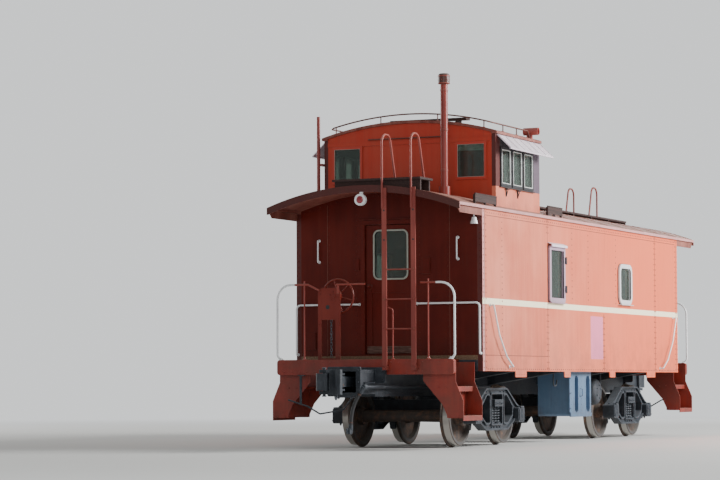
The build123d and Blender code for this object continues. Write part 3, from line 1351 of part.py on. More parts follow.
os.makedirs("parts", exist_ok=True)
for name, solids in NODES.items():
    export_step(Compound(children=solids) if len(solids) > 1 else solids[0], "parts/" + name + ".step")
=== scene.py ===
import math

import bmesh
import bpy
from bpy.props import FloatProperty, FloatVectorProperty, IntProperty, PointerProperty
from mathutils import Matrix, Vector


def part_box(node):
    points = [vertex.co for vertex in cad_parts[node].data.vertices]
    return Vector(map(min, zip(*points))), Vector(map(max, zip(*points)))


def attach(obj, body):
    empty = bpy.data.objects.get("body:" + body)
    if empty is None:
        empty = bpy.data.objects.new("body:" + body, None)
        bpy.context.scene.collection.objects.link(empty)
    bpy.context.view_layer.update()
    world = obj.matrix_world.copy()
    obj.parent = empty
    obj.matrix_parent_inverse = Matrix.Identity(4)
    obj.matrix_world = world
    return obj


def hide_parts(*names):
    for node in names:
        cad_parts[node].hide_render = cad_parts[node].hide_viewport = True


bl_info = {
    "name": "Caboose finish",
    "version": (1, 0, 0),
    "blender": (4, 5, 0),
    "location": "View3D > Sidebar > Caboose",
    "description": "Paint, seams, rivets, springs, lamps and fittings of a cupola caboose, with its stage",
    "category": "Object",
}

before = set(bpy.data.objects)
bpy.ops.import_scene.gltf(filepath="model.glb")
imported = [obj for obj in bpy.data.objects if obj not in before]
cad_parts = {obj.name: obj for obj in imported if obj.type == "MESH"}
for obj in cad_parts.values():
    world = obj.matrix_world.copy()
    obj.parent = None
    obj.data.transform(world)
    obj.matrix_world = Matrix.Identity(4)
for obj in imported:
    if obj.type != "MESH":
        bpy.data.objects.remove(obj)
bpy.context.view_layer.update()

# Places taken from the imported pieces, in metres
SIDE_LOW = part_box("side_wall_right")[0]
ROOF_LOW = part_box("roof")[0]
CUPOLA_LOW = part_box("cupola_wall_right")[0]
CUPOLA_ROOF_LOW, CUPOLA_ROOF_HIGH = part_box("cupola_roof")
END_X = SIDE_LOW.x
SIDE_Y = SIDE_LOW.y
BEAM_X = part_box("platform_near")[0].x
# Top of the rail above the lowest point of the wheel flanges
RAIL = 0.025


def along(distance):
    """Place along the car, measured from the near end wall."""
    return END_X + distance


def above_rail(height):
    """Height in the frame of a place given above the top of the rail."""
    return RAIL + height


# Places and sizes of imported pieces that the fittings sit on, in metres
DECK_Z = above_rail(1.210)
COUPLER_Z = above_rail(0.901)
LADDER_RAILS = (-0.340, -0.770)
LADDER_THICK = 0.016
RUNG_FIRST = 1.620
RUNG_PITCH = 0.405
RUNGS_ONCE = 5
RUNGS_LEFT = 3
RAILING_X = BEAM_X + 0.030
RAILING_TOP = above_rail(2.250)
RAILING_CORNER_Y = 1.330
STAND_FACE = BEAM_X + 0.0453
BRAKE_SHAFT_Y = 0.469
BRAKE_SHAFT_Z = above_rail(2.086)
AXLE_Z = 0.444
WHEEL_RADIUS = 0.419
TREAD_Y = (0.722, 0.812)
TRUCK_X = 3.03
SPRING_PITCH = 0.115
SPRING_RADIUS = 0.05
COUPLER_FACE_X = -6.62
MARKER_Y = 0.0
MARKER_Z = 3.42
HOOP_INSET = 0.020
HOOP_EDGE = 1.240
HOOP_LIFT = 0.100
CUPOLA_GRAB = 4.386
BEARER_X = 1.05
SILL_HALF = 0.165


class CabooseSizes(bpy.types.PropertyGroup):
    """Sizes of the small fittings that dress the plain body."""

    rivet_radius: FloatProperty(name="Rivet radius", description="Radius of a rivet head on the side sheets",
                                default=0.012, unit="LENGTH")
    rivet_height: FloatProperty(name="Rivet height", description="How far a rivet head stands proud",
                                default=0.006, unit="LENGTH")
    rivet_pitch: FloatProperty(name="Rivet pitch", description="Distance from one rivet to the next",
                               default=0.085, unit="LENGTH")
    seam_width: FloatProperty(name="Seam width", description="Width of the sealed line between two sheets",
                              default=0.008, unit="LENGTH")
    seam_lift: FloatProperty(name="Seam lift", description="How far a seam's sealant stands proud",
                             default=0.002, unit="LENGTH")
    coil_wire: FloatProperty(name="Spring wire", description="Radius of the spring steel",
                             default=0.0095, unit="LENGTH")
    coil_turns: IntProperty(name="Spring turns", description="Turns of one coil spring", default=6)


class CaboosePaint(bpy.types.PropertyGroup):
    """Colours of the paint and of the bare materials."""

    oxide_red: FloatVectorProperty(name="Oxide red", description="Paint of platforms, steps and pipes",
                                   subtype="COLOR", size=4, default=(0.200, 0.016, 0.009, 1.0))
    # Red of the end walls, doors and end faces, darkened as painted shade for the shaded ends
    end_red_painted_shade: FloatVectorProperty(name="Shaded red", description="Red of the ends darkened as painted shade under the roof",
                                    subtype="COLOR", size=4, default=(0.085, 0.008, 0.005, 1.0))
    # Red of the cupola's ends, brighter than the end walls as painted light of the sun on them
    cupola_red_painted_light: FloatVectorProperty(name="Cupola red", description="Brighter red (painted light) of the cupola's ends",
                                    subtype="COLOR", size=4, default=(0.460, 0.038, 0.018, 1.0))
    faded_side: FloatVectorProperty(name="Faded side", description="Sun bleached paint of the side walls",
                                    subtype="COLOR", size=4, default=(0.60, 0.130, 0.066, 1.0))
    stripe: FloatVectorProperty(name="Stripe", description="Cream stripe along the sides",
                                subtype="COLOR", size=4, default=(1.0, 0.90, 0.64, 1.0))
    patch: FloatVectorProperty(name="Patch", description="Pink panel of a later paint",
                               subtype="COLOR", size=4, default=(0.78, 0.20, 0.33, 1.0))
    rail_white: FloatVectorProperty(name="Rail white", description="Safety handrails",
                                    subtype="COLOR", size=4, default=(0.80, 0.82, 0.84, 1.0))
    awning_lilac: FloatVectorProperty(name="Awning", description="Chalky grey lilac of awnings and hoods",
                                      subtype="COLOR", size=4, default=(0.58, 0.48, 0.56, 1.0))
    running_black: FloatVectorProperty(name="Running gear", description="Dusty blue black of trucks",
                                       subtype="COLOR", size=4, default=(0.016, 0.021, 0.029, 1.0))
    box_blue: FloatVectorProperty(name="Box blue", description="Grey blue of the box below the side",
                                  subtype="COLOR", size=4, default=(0.070, 0.140, 0.240, 1.0))
    floor_tone: FloatVectorProperty(name="Floor", description="Pale studio floor",
                                    subtype="COLOR", size=4, default=(0.62, 0.62, 0.60, 1.0))


def sizes():
    return bpy.context.scene.caboose_sizes


def paint():
    return bpy.context.scene.caboose_paint


# Shader trees


def node(tree, kind, inputs=None, **properties):
    """One shader node with its properties set and its inputs given a value or a link."""
    made = tree.nodes.new("ShaderNode" + kind)
    for name, value in properties.items():
        setattr(made, name, value)
    for name, value in (inputs or {}).items():
        if isinstance(value, bpy.types.NodeSocket):
            tree.links.new(value, made.inputs[name])
        else:
            made.inputs[name].default_value = value
    return made


def maths(tree, operation, first, second=0.0):
    return node(tree, "Math", {0: first, 1: second}, operation=operation).outputs[0]


def clamp(tree, value):
    return node(tree, "Clamp", {"Value": value}).outputs[0]


def ramp(tree, value, low, high, out_low=0.0, out_high=1.0):
    """A smooth step of value from low to high."""
    step = node(tree, "MapRange", {"Value": value, "From Min": low, "From Max": high, "To Min": out_low,
                                   "To Max": out_high}, interpolation_type="SMOOTHSTEP")
    return step.outputs[0]


def band(tree, value, low, high, soft=0.002):
    """One between low and high, nought outside."""
    rise = ramp(tree, value, low - soft, low + soft)
    fall = ramp(tree, value, high - soft, high + soft, 1.0, 0.0)
    return maths(tree, "MULTIPLY", rise, fall)


def mix(tree, factor, first, second):
    """Second colour over the first by factor."""
    return node(tree, "Mix", {0: factor, 6: first, 7: second}, data_type="RGBA").outputs[2]


def spot_on(tree):
    """Place on the object, as a vector."""
    return node(tree, "TexCoord").outputs["Object"]


def parts_of(tree, vector=None):
    """The three parts of a vector, or of the place on the object."""
    return tuple(node(tree, "SeparateXYZ", {0: vector or spot_on(tree)}).outputs)


def facing_up(tree):
    """Upward part of the surface normal."""
    return parts_of(tree, node(tree, "NewGeometry").outputs["Normal"])[2]


def noise(tree, spot, scale, detail, roughness=0.55, stretch=None):
    if stretch:
        spot = node(tree, "Mapping", {"Vector": spot, "Scale": stretch}).outputs[0]
    made = node(tree, "TexNoise", {"Vector": spot, "Scale": scale, "Detail": detail, "Roughness": roughness})
    return made.outputs["Fac"]


def effect(name, inputs, outputs):
    """An empty node group with named sockets, and its two end nodes."""
    tree = bpy.data.node_groups.new(name, "ShaderNodeTree")
    for label, kind, default in inputs:
        socket = tree.interface.new_socket(label, in_out="INPUT", socket_type="NodeSocket" + kind)
        socket.default_value = default
    for label, kind in outputs:
        tree.interface.new_socket(label, in_out="OUTPUT", socket_type="NodeSocket" + kind)
    return tree, tree.nodes.new("NodeGroupInput").outputs, tree.nodes.new("NodeGroupOutput").inputs


def sun_fading():
    """Paint bleached in clouds and streaks, more where it faces up."""
    tree, given, out = effect(
        "Sun fading",
        (("Paint", "Color", (0.5, 0.1, 0.1, 1)), ("Bleached", "Color", (0.8, 0.5, 0.4, 1)),
         ("Amount", "Float", 0.5), ("Cloud Scale", "Float", 1.2), ("Streaks", "Float", 0.5)),
        (("Color", "Color"), ("Mask", "Float")))
    spot = spot_on(tree)
    clouds = ramp(tree, noise(tree, spot, given["Cloud Scale"], 5.0), 0.35, 0.68)
    runs = ramp(tree, noise(tree, spot, 1.0, 5.0, 0.6, (9.0, 9.0, 0.55)), 0.40, 0.66)
    upward = maths(tree, "MULTIPLY", clamp(tree, facing_up(tree)), 0.5)
    runs = maths(tree, "MULTIPLY", runs, given["Streaks"])
    total = maths(tree, "ADD", maths(tree, "ADD", clouds, runs), upward)
    mask = clamp(tree, maths(tree, "MULTIPLY", total, given["Amount"]))
    tree.links.new(mix(tree, mask, given["Paint"], given["Bleached"]), out["Color"])
    tree.links.new(mask, out["Mask"])
    return tree


def grime():
    """Dirt that gathers low down, in runs below the ledges and in fine specks."""
    tree, given, out = effect(
        "Grime",
        (("Color", "Color", (0.5, 0.5, 0.5, 1)), ("Dirt", "Color", (0.05, 0.035, 0.025, 1)),
         ("Amount", "Float", 0.4), ("Low", "Float", 1.0), ("High", "Float", 1.6)),
        (("Color", "Color"), ("Mask", "Float")))
    spot = spot_on(tree)
    z = parts_of(tree)[2]
    splash = ramp(tree, z, given["Low"], given["High"], 1.0, 0.0)
    clouds = noise(tree, spot, 3.0, 6.0, 0.62)
    runs = ramp(tree, noise(tree, spot, 1.0, 6.0, 0.65, (22.0, 22.0, 1.1)), 0.52, 0.75)
    specks = ramp(tree, noise(tree, spot, 60.0, 3.0), 0.60, 0.75)
    low_dirt = maths(tree, "MULTIPLY", splash, ramp(tree, clouds, 0.30, 0.70))
    total = maths(tree, "ADD", low_dirt, maths(tree, "MULTIPLY", runs, 0.45))
    total = maths(tree, "ADD", total, maths(tree, "MULTIPLY", specks, 0.25))
    mask = clamp(tree, maths(tree, "MULTIPLY", total, given["Amount"]))
    tree.links.new(mix(tree, mask, given["Color"], given["Dirt"]), out["Color"])
    tree.links.new(mask, out["Mask"])
    return tree


def edge_wear():
    """Finds corners that rub bare, broken up by noise."""
    tree, given, out = effect("Edge wear", (("Radius", "Float", 0.01), ("Amount", "Float", 0.6)),
                              (("Mask", "Float"),))
    spot = spot_on(tree)
    rounded = node(tree, "Bevel", {"Radius": given["Radius"]}, samples=4).outputs[0]
    flat = node(tree, "NewGeometry").outputs["Normal"]
    agree = node(tree, "VectorMath", {0: rounded, 1: flat}, operation="DOT_PRODUCT").outputs["Value"]
    corner = ramp(tree, agree, 0.80, 0.99, 1.0, 0.0)
    broken = ramp(tree, noise(tree, spot, 14.0, 6.0, 0.7), 0.44, 0.62)
    mask = maths(tree, "MULTIPLY", maths(tree, "MULTIPLY", corner, broken), given["Amount"])
    tree.links.new(clamp(tree, mask), out["Mask"])
    return tree


def rust_bloom():
    """Patches of rust that eat through the paint."""
    tree, given, out = effect(
        "Rust bloom",
        (("Color", "Color", (0.5, 0.5, 0.5, 1)), ("Amount", "Float", 0.3), ("Scale", "Float", 5.0)),
        (("Color", "Color"), ("Mask", "Float")))
    spot = spot_on(tree)
    field = noise(tree, spot, given["Scale"], 8.0, 0.68)
    edge = maths(tree, "SUBTRACT", 0.78, maths(tree, "MULTIPLY", given["Amount"], 0.35))
    mask = ramp(tree, field, edge, maths(tree, "ADD", edge, 0.05))
    tone = mix(tree, noise(tree, spot, 45.0, 5.0), (0.13, 0.035, 0.012, 1), (0.33, 0.11, 0.035, 1))
    tree.links.new(mix(tree, mask, given["Color"], tone), out["Color"])
    tree.links.new(mask, out["Mask"])
    return tree


def settled_dust():
    """Dust that lies on faces that look up."""
    tree, given, out = effect(
        "Settled dust",
        (("Color", "Color", (0.5, 0.5, 0.5, 1)), ("Dust", "Color", (0.30, 0.26, 0.21, 1)),
         ("Amount", "Float", 0.5)),
        (("Color", "Color"), ("Mask", "Float")))
    spot = spot_on(tree)
    lies = ramp(tree, facing_up(tree), 0.15, 0.95)
    clouds = ramp(tree, noise(tree, spot, 6.0, 6.0, 0.65), 0.25, 0.75, 0.35, 1.0)
    mask = clamp(tree, maths(tree, "MULTIPLY", maths(tree, "MULTIPLY", lies, clouds), given["Amount"]))
    tree.links.new(mix(tree, mask, given["Color"], given["Dust"]), out["Color"])
    tree.links.new(mask, out["Mask"])
    return tree


def sheet_ripple():
    """Slow waves of thin plate, with brush marks in the paint."""
    tree, given, out = effect("Sheet ripple", (("Wave", "Float", 1.0), ("Brush", "Float", 0.2)),
                              (("Height", "Float"),))
    spot = spot_on(tree)
    wave = maths(tree, "MULTIPLY", noise(tree, spot, 1.7, 2.0, 0.4), given["Wave"])
    brush = maths(tree, "MULTIPLY", noise(tree, spot, 55.0, 5.0, 0.6), given["Brush"])
    tree.links.new(maths(tree, "ADD", wave, brush), out["Height"])
    return tree


def cast_surface():
    """Sand cast skin with scale and pits."""
    tree, given, out = effect("Cast surface", (("Grain", "Float", 1.0),),
                              (("Height", "Float"), ("Fleck", "Float")))
    spot = spot_on(tree)
    sand = noise(tree, spot, 140.0, 4.0, 0.6)
    pits = node(tree, "TexVoronoi", {"Vector": spot, "Scale": 45.0}).outputs["Distance"]
    height = maths(tree, "ADD", maths(tree, "MULTIPLY", sand, 0.6), maths(tree, "MULTIPLY", pits, 0.5))
    tree.links.new(maths(tree, "MULTIPLY", height, given["Grain"]), out["Height"])
    tree.links.new(ramp(tree, noise(tree, spot, 9.0, 6.0, 0.7), 0.45, 0.70), out["Fleck"])
    return tree


EFFECTS = {}
EFFECT_MAKERS = {"Sun fading": sun_fading, "Grime": grime, "Edge wear": edge_wear, "Rust bloom": rust_bloom,
                 "Settled dust": settled_dust, "Sheet ripple": sheet_ripple, "Cast surface": cast_surface}


def use(tree, name, **inputs):
    """One of the shared effects, placed in a material with its own values."""
    if name not in EFFECTS:
        EFFECTS[name] = EFFECT_MAKERS[name]()
    made = tree.nodes.new("ShaderNodeGroup")
    made.node_tree = EFFECTS[name]
    for label, value in inputs.items():
        socket = made.inputs[label.replace("_", " ")]
        if isinstance(value, bpy.types.NodeSocket):
            tree.links.new(value, socket)
        else:
            socket.default_value = value
    return made.outputs


def blank_material(name):
    """A new material with only its surface shader, and its node tree."""
    material = bpy.data.materials.new(name)
    material.use_nodes = True
    tree = material.node_tree
    return material, tree, tree.nodes["Principled BSDF"]


def bumped(tree, shader, height, distance, strength):
    bump = node(tree, "Bump", {"Height": height, "Distance": distance, "Strength": strength})
    tree.links.new(bump.outputs[0], shader.inputs["Normal"])


def painted_steel(name, colour, bleached, low, high, fade=0.5, dirt=0.35, rust=0.1, wear=0.5,
                  gloss=0.45, wave=1.0, marks=None, shine=0.5):
    """Painted plate: faded, streaked, marked, grimy low down and rubbed at the corners."""
    material, tree, shader = blank_material(name)
    shader.inputs["Specular IOR Level"].default_value = shine
    faded = use(tree, "Sun fading", Paint=colour, Bleached=bleached, Amount=fade)
    colour = marks(tree, faded["Color"]) if marks else faded["Color"]
    dirty = use(tree, "Grime", Color=colour, Amount=dirt, Low=low, High=high)
    dusty = use(tree, "Settled dust", Color=dirty["Color"], Amount=0.35)
    rusty = use(tree, "Rust bloom", Color=dusty["Color"], Amount=rust)
    worn = use(tree, "Edge wear", Radius=0.012, Amount=wear)
    bare = mix(tree, worn["Mask"], rusty["Color"], (0.20, 0.085, 0.05, 1))
    tree.links.new(bare, shader.inputs["Base Color"])
    rough = maths(tree, "ADD", gloss, maths(tree, "MULTIPLY", dirty["Mask"], 0.35))
    rough = maths(tree, "ADD", rough, maths(tree, "MULTIPLY", rusty["Mask"], 0.3))
    tree.links.new(clamp(tree, rough), shader.inputs["Roughness"])
    bumped(tree, shader, use(tree, "Sheet ripple", Wave=wave)["Height"], 0.012, 0.35)
    return material


def side_marks_and_end_shade(tree, colour):
    """Stripe, pink panel on the right, pale near corner, more orange to the far end, end faces in painted
    shade red.
    """
    x, y, z = parts_of(tree)
    warm = ramp(tree, x, along(0.3), -END_X - 1.5, 0.0, 0.85)
    colour = mix(tree, warm, colour, (0.86, 0.150, 0.055, 1))
    corner = band(tree, x, END_X - 0.01, along(0.084))
    colour = mix(tree, maths(tree, "MULTIPLY", corner, 0.6), colour, (0.62, 0.34, 0.36, 1))
    on_side = ramp(tree, maths(tree, "ABSOLUTE", y), -SIDE_Y - 0.02, -SIDE_Y - 0.012)
    stripe = maths(tree, "MULTIPLY", band(tree, z, *STRIPE), on_side)
    right = ramp(tree, y, SIDE_Y + 0.10, SIDE_Y + 0.11, 1.0, 0.0)
    panel = maths(tree, "MULTIPLY", band(tree, x, *PATCH_X), band(tree, z, *PATCH_Z))
    panel = maths(tree, "MULTIPLY", panel, right)
    colour = mix(tree, panel, colour, paint().patch)
    colour = mix(tree, stripe, colour, paint().stripe)
    # End faces of the side sheets take the end red, darkened as painted shade
    painted_shade_end_face = ramp(tree, maths(tree, "ABSOLUTE", x), -END_X - 0.0015, -END_X - 0.0005)
    return mix(tree, painted_shade_end_face, colour, paint().end_red_painted_shade)


def cupola_marks_and_awning_shade(tree, colour):
    """Salmon below the cupola sills; above, painted shade: dark red near post, black mullions, dark lilac far
    post.
    """
    x, _, z = parts_of(tree)
    # Above the sills the colours are painted shade under the awning
    awning_shade_zone = ramp(tree, z, above_rail(3.655), above_rail(3.660))
    post = mix(tree, ramp(tree, x, along(0.925), along(0.930)), paint().end_red_painted_shade, (0.022, 0.020, 0.024, 1))
    post = mix(tree, ramp(tree, x, along(2.250), along(2.255)), post, (0.11, 0.075, 0.105, 1))
    return mix(tree, awning_shade_zone, colour, post)


def rail_marks(tree, colour):
    """End railings: white where they stand out past the steps, red between."""
    y = parts_of(tree)[1]
    inner = ramp(tree, maths(tree, "ABSOLUTE", y), WHITE_FROM - 0.002, WHITE_FROM + 0.002, 1.0, 0.0)
    return mix(tree, inner, colour, (0.26, 0.040, 0.028, 1))


def roof_marks_and_end_shade(tree, colour):
    """Deep red end faces as painted shade and a pale line along the eaves, below the chalky fade on top."""
    x, y = parts_of(tree)[:2]
    # Roof end faces are darkened to a deep red as painted shade, like the end walls
    painted_shade_end_face = ramp(tree, maths(tree, "ABSOLUTE", x), -ROOF_LOW.x - 0.0015, -ROOF_LOW.x - 0.0005)
    eave = ramp(tree, maths(tree, "ABSOLUTE", y), ROOF_HALF - 0.0025, ROOF_HALF - 0.0015)
    colour = mix(tree, eave, colour, (0.60, 0.30, 0.29, 1))
    return mix(tree, painted_shade_end_face, colour, (0.070, 0.008, 0.005, 1))


# Painted marks on the side: heights and places of their edges
STRIPE = (above_rail(1.972), above_rail(2.056))
PATCH_X = (along(4.54), along(5.12))
PATCH_Z = (above_rail(1.24), above_rail(1.90))
WHITE_FROM = 1.060


def faded_side():
    return painted_steel("faded side paint", paint().faded_side, (0.76, 0.235, 0.140, 1), fade=0.55,
                         dirt=0.28, rust=0.05, wear=0.3, gloss=0.50, low=above_rail(1.0),
                         high=above_rail(1.9), wave=1.2, marks=side_marks_and_end_shade)


def cupola_side():
    return painted_steel("cupola side paint", paint().faded_side, (0.76, 0.235, 0.140, 1), fade=0.55,
                         dirt=0.28, rust=0.05, wear=0.3, gloss=0.50, low=above_rail(3.4),
                         high=above_rail(3.6), wave=0.6, marks=cupola_marks_and_awning_shade)


def oxide_red():
    return painted_steel("oxide red paint", paint().oxide_red, (0.34, 0.045, 0.026, 1), fade=0.45,
                         dirt=0.40, wear=0.45, gloss=0.38, low=above_rail(1.1), high=above_rail(1.7))


# End walls, doors and their trim: red darkened as painted shade, with low shine
def end_red_painted_shade():
    return painted_steel("shaded red paint", paint().end_red_painted_shade, (0.15, 0.016, 0.009, 1), fade=0.45,
                         dirt=0.40, rust=0.08, wear=0.4, gloss=0.36, low=above_rail(1.1),
                         high=above_rail(1.7), shine=0.16)


def stand_red():
    return painted_steel("stand red paint", (0.135, 0.013, 0.008, 1), (0.22, 0.030, 0.018, 1), fade=0.45,
                         dirt=0.40, gloss=0.38, low=above_rail(1.1), high=above_rail(1.7), wave=0.6,
                         shine=0.3)


# Rivet heads darker than the side paint: some grime, and painted shade around the heads
def rivet_grime_and_painted_shade():
    return painted_steel("shaded rivet paint", (0.30, 0.075, 0.045, 1), (0.44, 0.13, 0.085, 1), fade=0.4,
                         dirt=0.5, rust=0.2, wear=0.2, gloss=0.5, low=above_rail(1.0), high=above_rail(1.9),
                         wave=0.2)


def lamp_marks(tree, colour):
    """Pinkish red searchlight on the cupola roof above the white lamps of the ends."""
    z = parts_of(tree)[2]
    return mix(tree, ramp(tree, z, above_rail(4.20), above_rail(4.22)), colour, (0.42, 0.10, 0.085, 1))


def lamp_paint():
    return painted_steel("lamp paint", paint().rail_white, (0.88, 0.88, 0.86, 1), fade=0.3, dirt=0.25,
                         wear=0.4, gloss=0.30, low=above_rail(1.0), high=above_rail(1.5), wave=0.2,
                         marks=lamp_marks)


def pipe_marks(tree, colour):
    """Dark brown cap of the smoke pipe with soot on its top."""
    z = parts_of(tree)[2]
    colour = mix(tree, ramp(tree, z, above_rail(5.08), above_rail(5.09)), colour, (0.075, 0.018, 0.012, 1))
    return mix(tree, ramp(tree, z, above_rail(5.2385), above_rail(5.2395)), colour, (0.016, 0.015, 0.014, 1))


def pipe_red():
    return painted_steel("smoke pipe paint", paint().oxide_red, (0.34, 0.045, 0.026, 1), fade=0.45,
                         dirt=0.40, wear=0.45, gloss=0.38, low=above_rail(1.1), high=above_rail(1.7),
                         wave=0.4, marks=pipe_marks)


# Cupola ends: red brightened as painted light of the sun on them
def cupola_red_painted_light():
    return painted_steel("cupola red paint", paint().cupola_red_painted_light, (0.46, 0.075, 0.040, 1), fade=0.40,
                         rust=0.06, wear=0.4, gloss=0.40, low=above_rail(3.4), high=above_rail(3.9),
                         wave=0.8, shine=0.3)


def ladder_red():
    return painted_steel("sun faded rail red", (0.20, 0.026, 0.018, 1), (0.36, 0.075, 0.055, 1), dirt=0.3,
                         rust=0.2, wear=0.7, low=above_rail(1.1), high=above_rail(1.6), wave=0.4)


def dark_rail():
    return painted_steel("dark roof rail", (0.085, 0.022, 0.016, 1), (0.20, 0.07, 0.05, 1), dirt=0.3,
                         rust=0.3, wear=0.6, gloss=0.5, low=above_rail(1.1), high=above_rail(1.6), wave=0.4)


def roof_red():
    return painted_steel("roof paint", (0.17, 0.032, 0.021, 1), (0.42, 0.165, 0.125, 1), fade=0.55,
                         dirt=0.6, rust=0.35, gloss=0.60, low=above_rail(3.0), high=above_rail(3.5),
                         wave=1.6, marks=roof_marks_and_end_shade)


def awning_lilac():
    return painted_steel("chalky awning paint", paint().awning_lilac, (0.80, 0.72, 0.78, 1), fade=0.7,
                         rust=0.12, wear=0.4, gloss=0.62, low=above_rail(1.0), high=above_rail(1.2))


def frame_marks_shade_and_light(tree, colour):
    """Lilac near window frame, pale far one, painted shade black on the cupola sides, painted light red at
    its ends.
    """
    x, y, z = parts_of(tree)
    near = ramp(tree, x, along(4.0), along(4.1), 1.0, 0.0)
    colour = mix(tree, near, colour, (0.46, 0.32, 0.41, 1))
    # Cupola side frames under the awning: black as painted shade
    high = ramp(tree, z, above_rail(3.3), above_rail(3.32))
    at_end = ramp(tree, maths(tree, "ABSOLUTE", y), -CUPOLA_LOW.y - 0.03, -CUPOLA_LOW.y - 0.025, 1.0, 0.0)
    colour = mix(tree, high, colour, (0.022, 0.022, 0.026, 1))
    # Cupola end frames take the cupola red, brightened as painted light
    return mix(tree, maths(tree, "MULTIPLY", high, at_end), colour, paint().cupola_red_painted_light)


def sash_paint():
    return painted_steel("window frame paint", (0.66, 0.66, 0.68, 1), (0.80, 0.80, 0.80, 1), fade=0.3,
                         dirt=0.45, rust=0.08, low=above_rail(1.9), high=above_rail(2.3), wave=0.3,
                         marks=frame_marks_shade_and_light)


def pale_sash():
    return painted_steel("pale sash paint", (0.62, 0.66, 0.64, 1), (0.80, 0.82, 0.80, 1), fade=0.4,
                         rust=0.06, low=above_rail(1.9), high=above_rail(2.3), wave=0.3)


def rail_white():
    return painted_steel("white rail paint", paint().rail_white, (0.88, 0.88, 0.86, 1), fade=0.3, dirt=0.25,
                         wear=0.6, gloss=0.30, low=above_rail(1.0), high=above_rail(1.5), wave=0.2)


def end_rail():
    return painted_steel("end rail paint", paint().rail_white, (0.88, 0.88, 0.86, 1), fade=0.3, dirt=0.25,
                         wear=0.6, gloss=0.30, low=above_rail(1.0), high=above_rail(1.5), wave=0.2,
                         marks=rail_marks)


def box_blue():
    return painted_steel("grey blue paint", paint().box_blue, (0.14, 0.22, 0.33, 1), dirt=0.5, rust=0.18,
                         wear=0.6, low=above_rail(0.3), high=above_rail(0.9), wave=0.6)


def running_gear():
    """Black paint under road dust on rough castings."""
    material, tree, shader = blank_material("dusty running gear")
    skin = use(tree, "Cast surface")
    colour = mix(tree, skin["Fleck"], paint().running_black, (0.045, 0.052, 0.064, 1))
    rusty = use(tree, "Rust bloom", Color=colour, Amount=0.30, Scale=7.0)
    dusty = use(tree, "Settled dust", Color=rusty["Color"], Dust=(0.17, 0.19, 0.21, 1), Amount=0.70)
    worn = use(tree, "Edge wear", Radius=0.014, Amount=0.55)
    bare = mix(tree, worn["Mask"], dusty["Color"], (0.17, 0.20, 0.24, 1))
    tree.links.new(bare, shader.inputs["Base Color"])
    tree.links.new(ramp(tree, skin["Fleck"], 0.0, 1.0, 0.55, 0.82), shader.inputs["Roughness"])
    bumped(tree, shader, skin["Height"], 0.004, 0.6)
    return material


def wheel_steel(axle_x):
    """Rusty plate and hub, dark rim face and a bright tread, by distance from the axle."""
    material, tree, shader = blank_material("wheel steel")
    x, y, z = parts_of(tree)
    run = maths(tree, "SUBTRACT", x, axle_x)
    rise = maths(tree, "SUBTRACT", z, AXLE_Z)
    radius = maths(tree, "SQRT", maths(tree, "ADD", maths(tree, "MULTIPLY", run, run),
                                       maths(tree, "MULTIPLY", rise, rise)))
    skin = use(tree, "Cast surface")
    colour = mix(tree, skin["Fleck"], (0.050, 0.038, 0.032, 1), (0.14, 0.075, 0.045, 1))
    rim = band(tree, radius, WHEEL_RADIUS - 0.065, WHEEL_RADIUS - 0.012, 0.006)
    colour = mix(tree, rim, colour, (0.075, 0.070, 0.068, 1))
    across = maths(tree, "ABSOLUTE", y)
    tread = maths(tree, "MULTIPLY", ramp(tree, radius, WHEEL_RADIUS - 0.008, WHEEL_RADIUS - 0.004),
                  band(tree, across, TREAD_Y[0], TREAD_Y[1], 0.006))
    colour = mix(tree, tread, colour, (0.42, 0.40, 0.37, 1))
    dusty = use(tree, "Settled dust", Color=colour, Amount=0.3)
    tree.links.new(dusty["Color"], shader.inputs["Base Color"])
    tree.links.new(ramp(tree, tread, 0.0, 1.0, 0.75, 0.32), shader.inputs["Roughness"])
    tree.links.new(maths(tree, "MULTIPLY", tread, 0.9), shader.inputs["Metallic"])
    bumped(tree, shader, skin["Height"], 0.003, 0.5)
    return material


def window_pane():
    """Clear glass with a green tint and patches of dust."""
    material, tree, shader = blank_material("window pane")
    spot = spot_on(tree)
    film = ramp(tree, noise(tree, spot, 5.0, 5.0, 0.65), 0.45, 0.8)
    tint = mix(tree, film, (0.34, 0.44, 0.38, 1), (0.52, 0.58, 0.53, 1))
    tree.links.new(tint, shader.inputs["Base Color"])
    tree.links.new(ramp(tree, film, 0.0, 1.0, 0.02, 0.12), shader.inputs["Roughness"])
    shader.inputs["Transmission Weight"].default_value = 0.92
    shader.inputs["IOR"].default_value = 1.45
    return material


def board_wood(name, tone, bleached):
    """Weathered planks with their grain along the car."""
    material, tree, shader = blank_material(name)
    spot = spot_on(tree)
    grain = noise(tree, spot, 1.0, 7.0, 0.65, (2.2, 60.0, 60.0))
    colour = mix(tree, ramp(tree, grain, 0.3, 0.7), tone, bleached)
    dirty = use(tree, "Grime", Color=colour, Amount=0.35, Low=above_rail(1.0), High=above_rail(1.3))
    tree.links.new(dirty["Color"], shader.inputs["Base Color"])
    shader.inputs["Roughness"].default_value = 0.78
    bumped(tree, shader, grain, 0.006, 0.7)
    return material


def walk_boards():
    return board_wood("walk boards", (0.018, 0.007, 0.006, 1), (0.055, 0.024, 0.020, 1))


def floor_boards():
    return board_wood("floor boards", (0.10, 0.055, 0.03, 1), (0.23, 0.15, 0.09, 1))


def deck_paint():
    return painted_steel("deck paint", (0.10, 0.028, 0.02, 1), (0.22, 0.11, 0.08, 1), fade=0.6, dirt=0.7,
                         rust=0.4, wear=0.6, gloss=0.62, low=above_rail(0.8), high=above_rail(1.6),
                         wave=0.5)


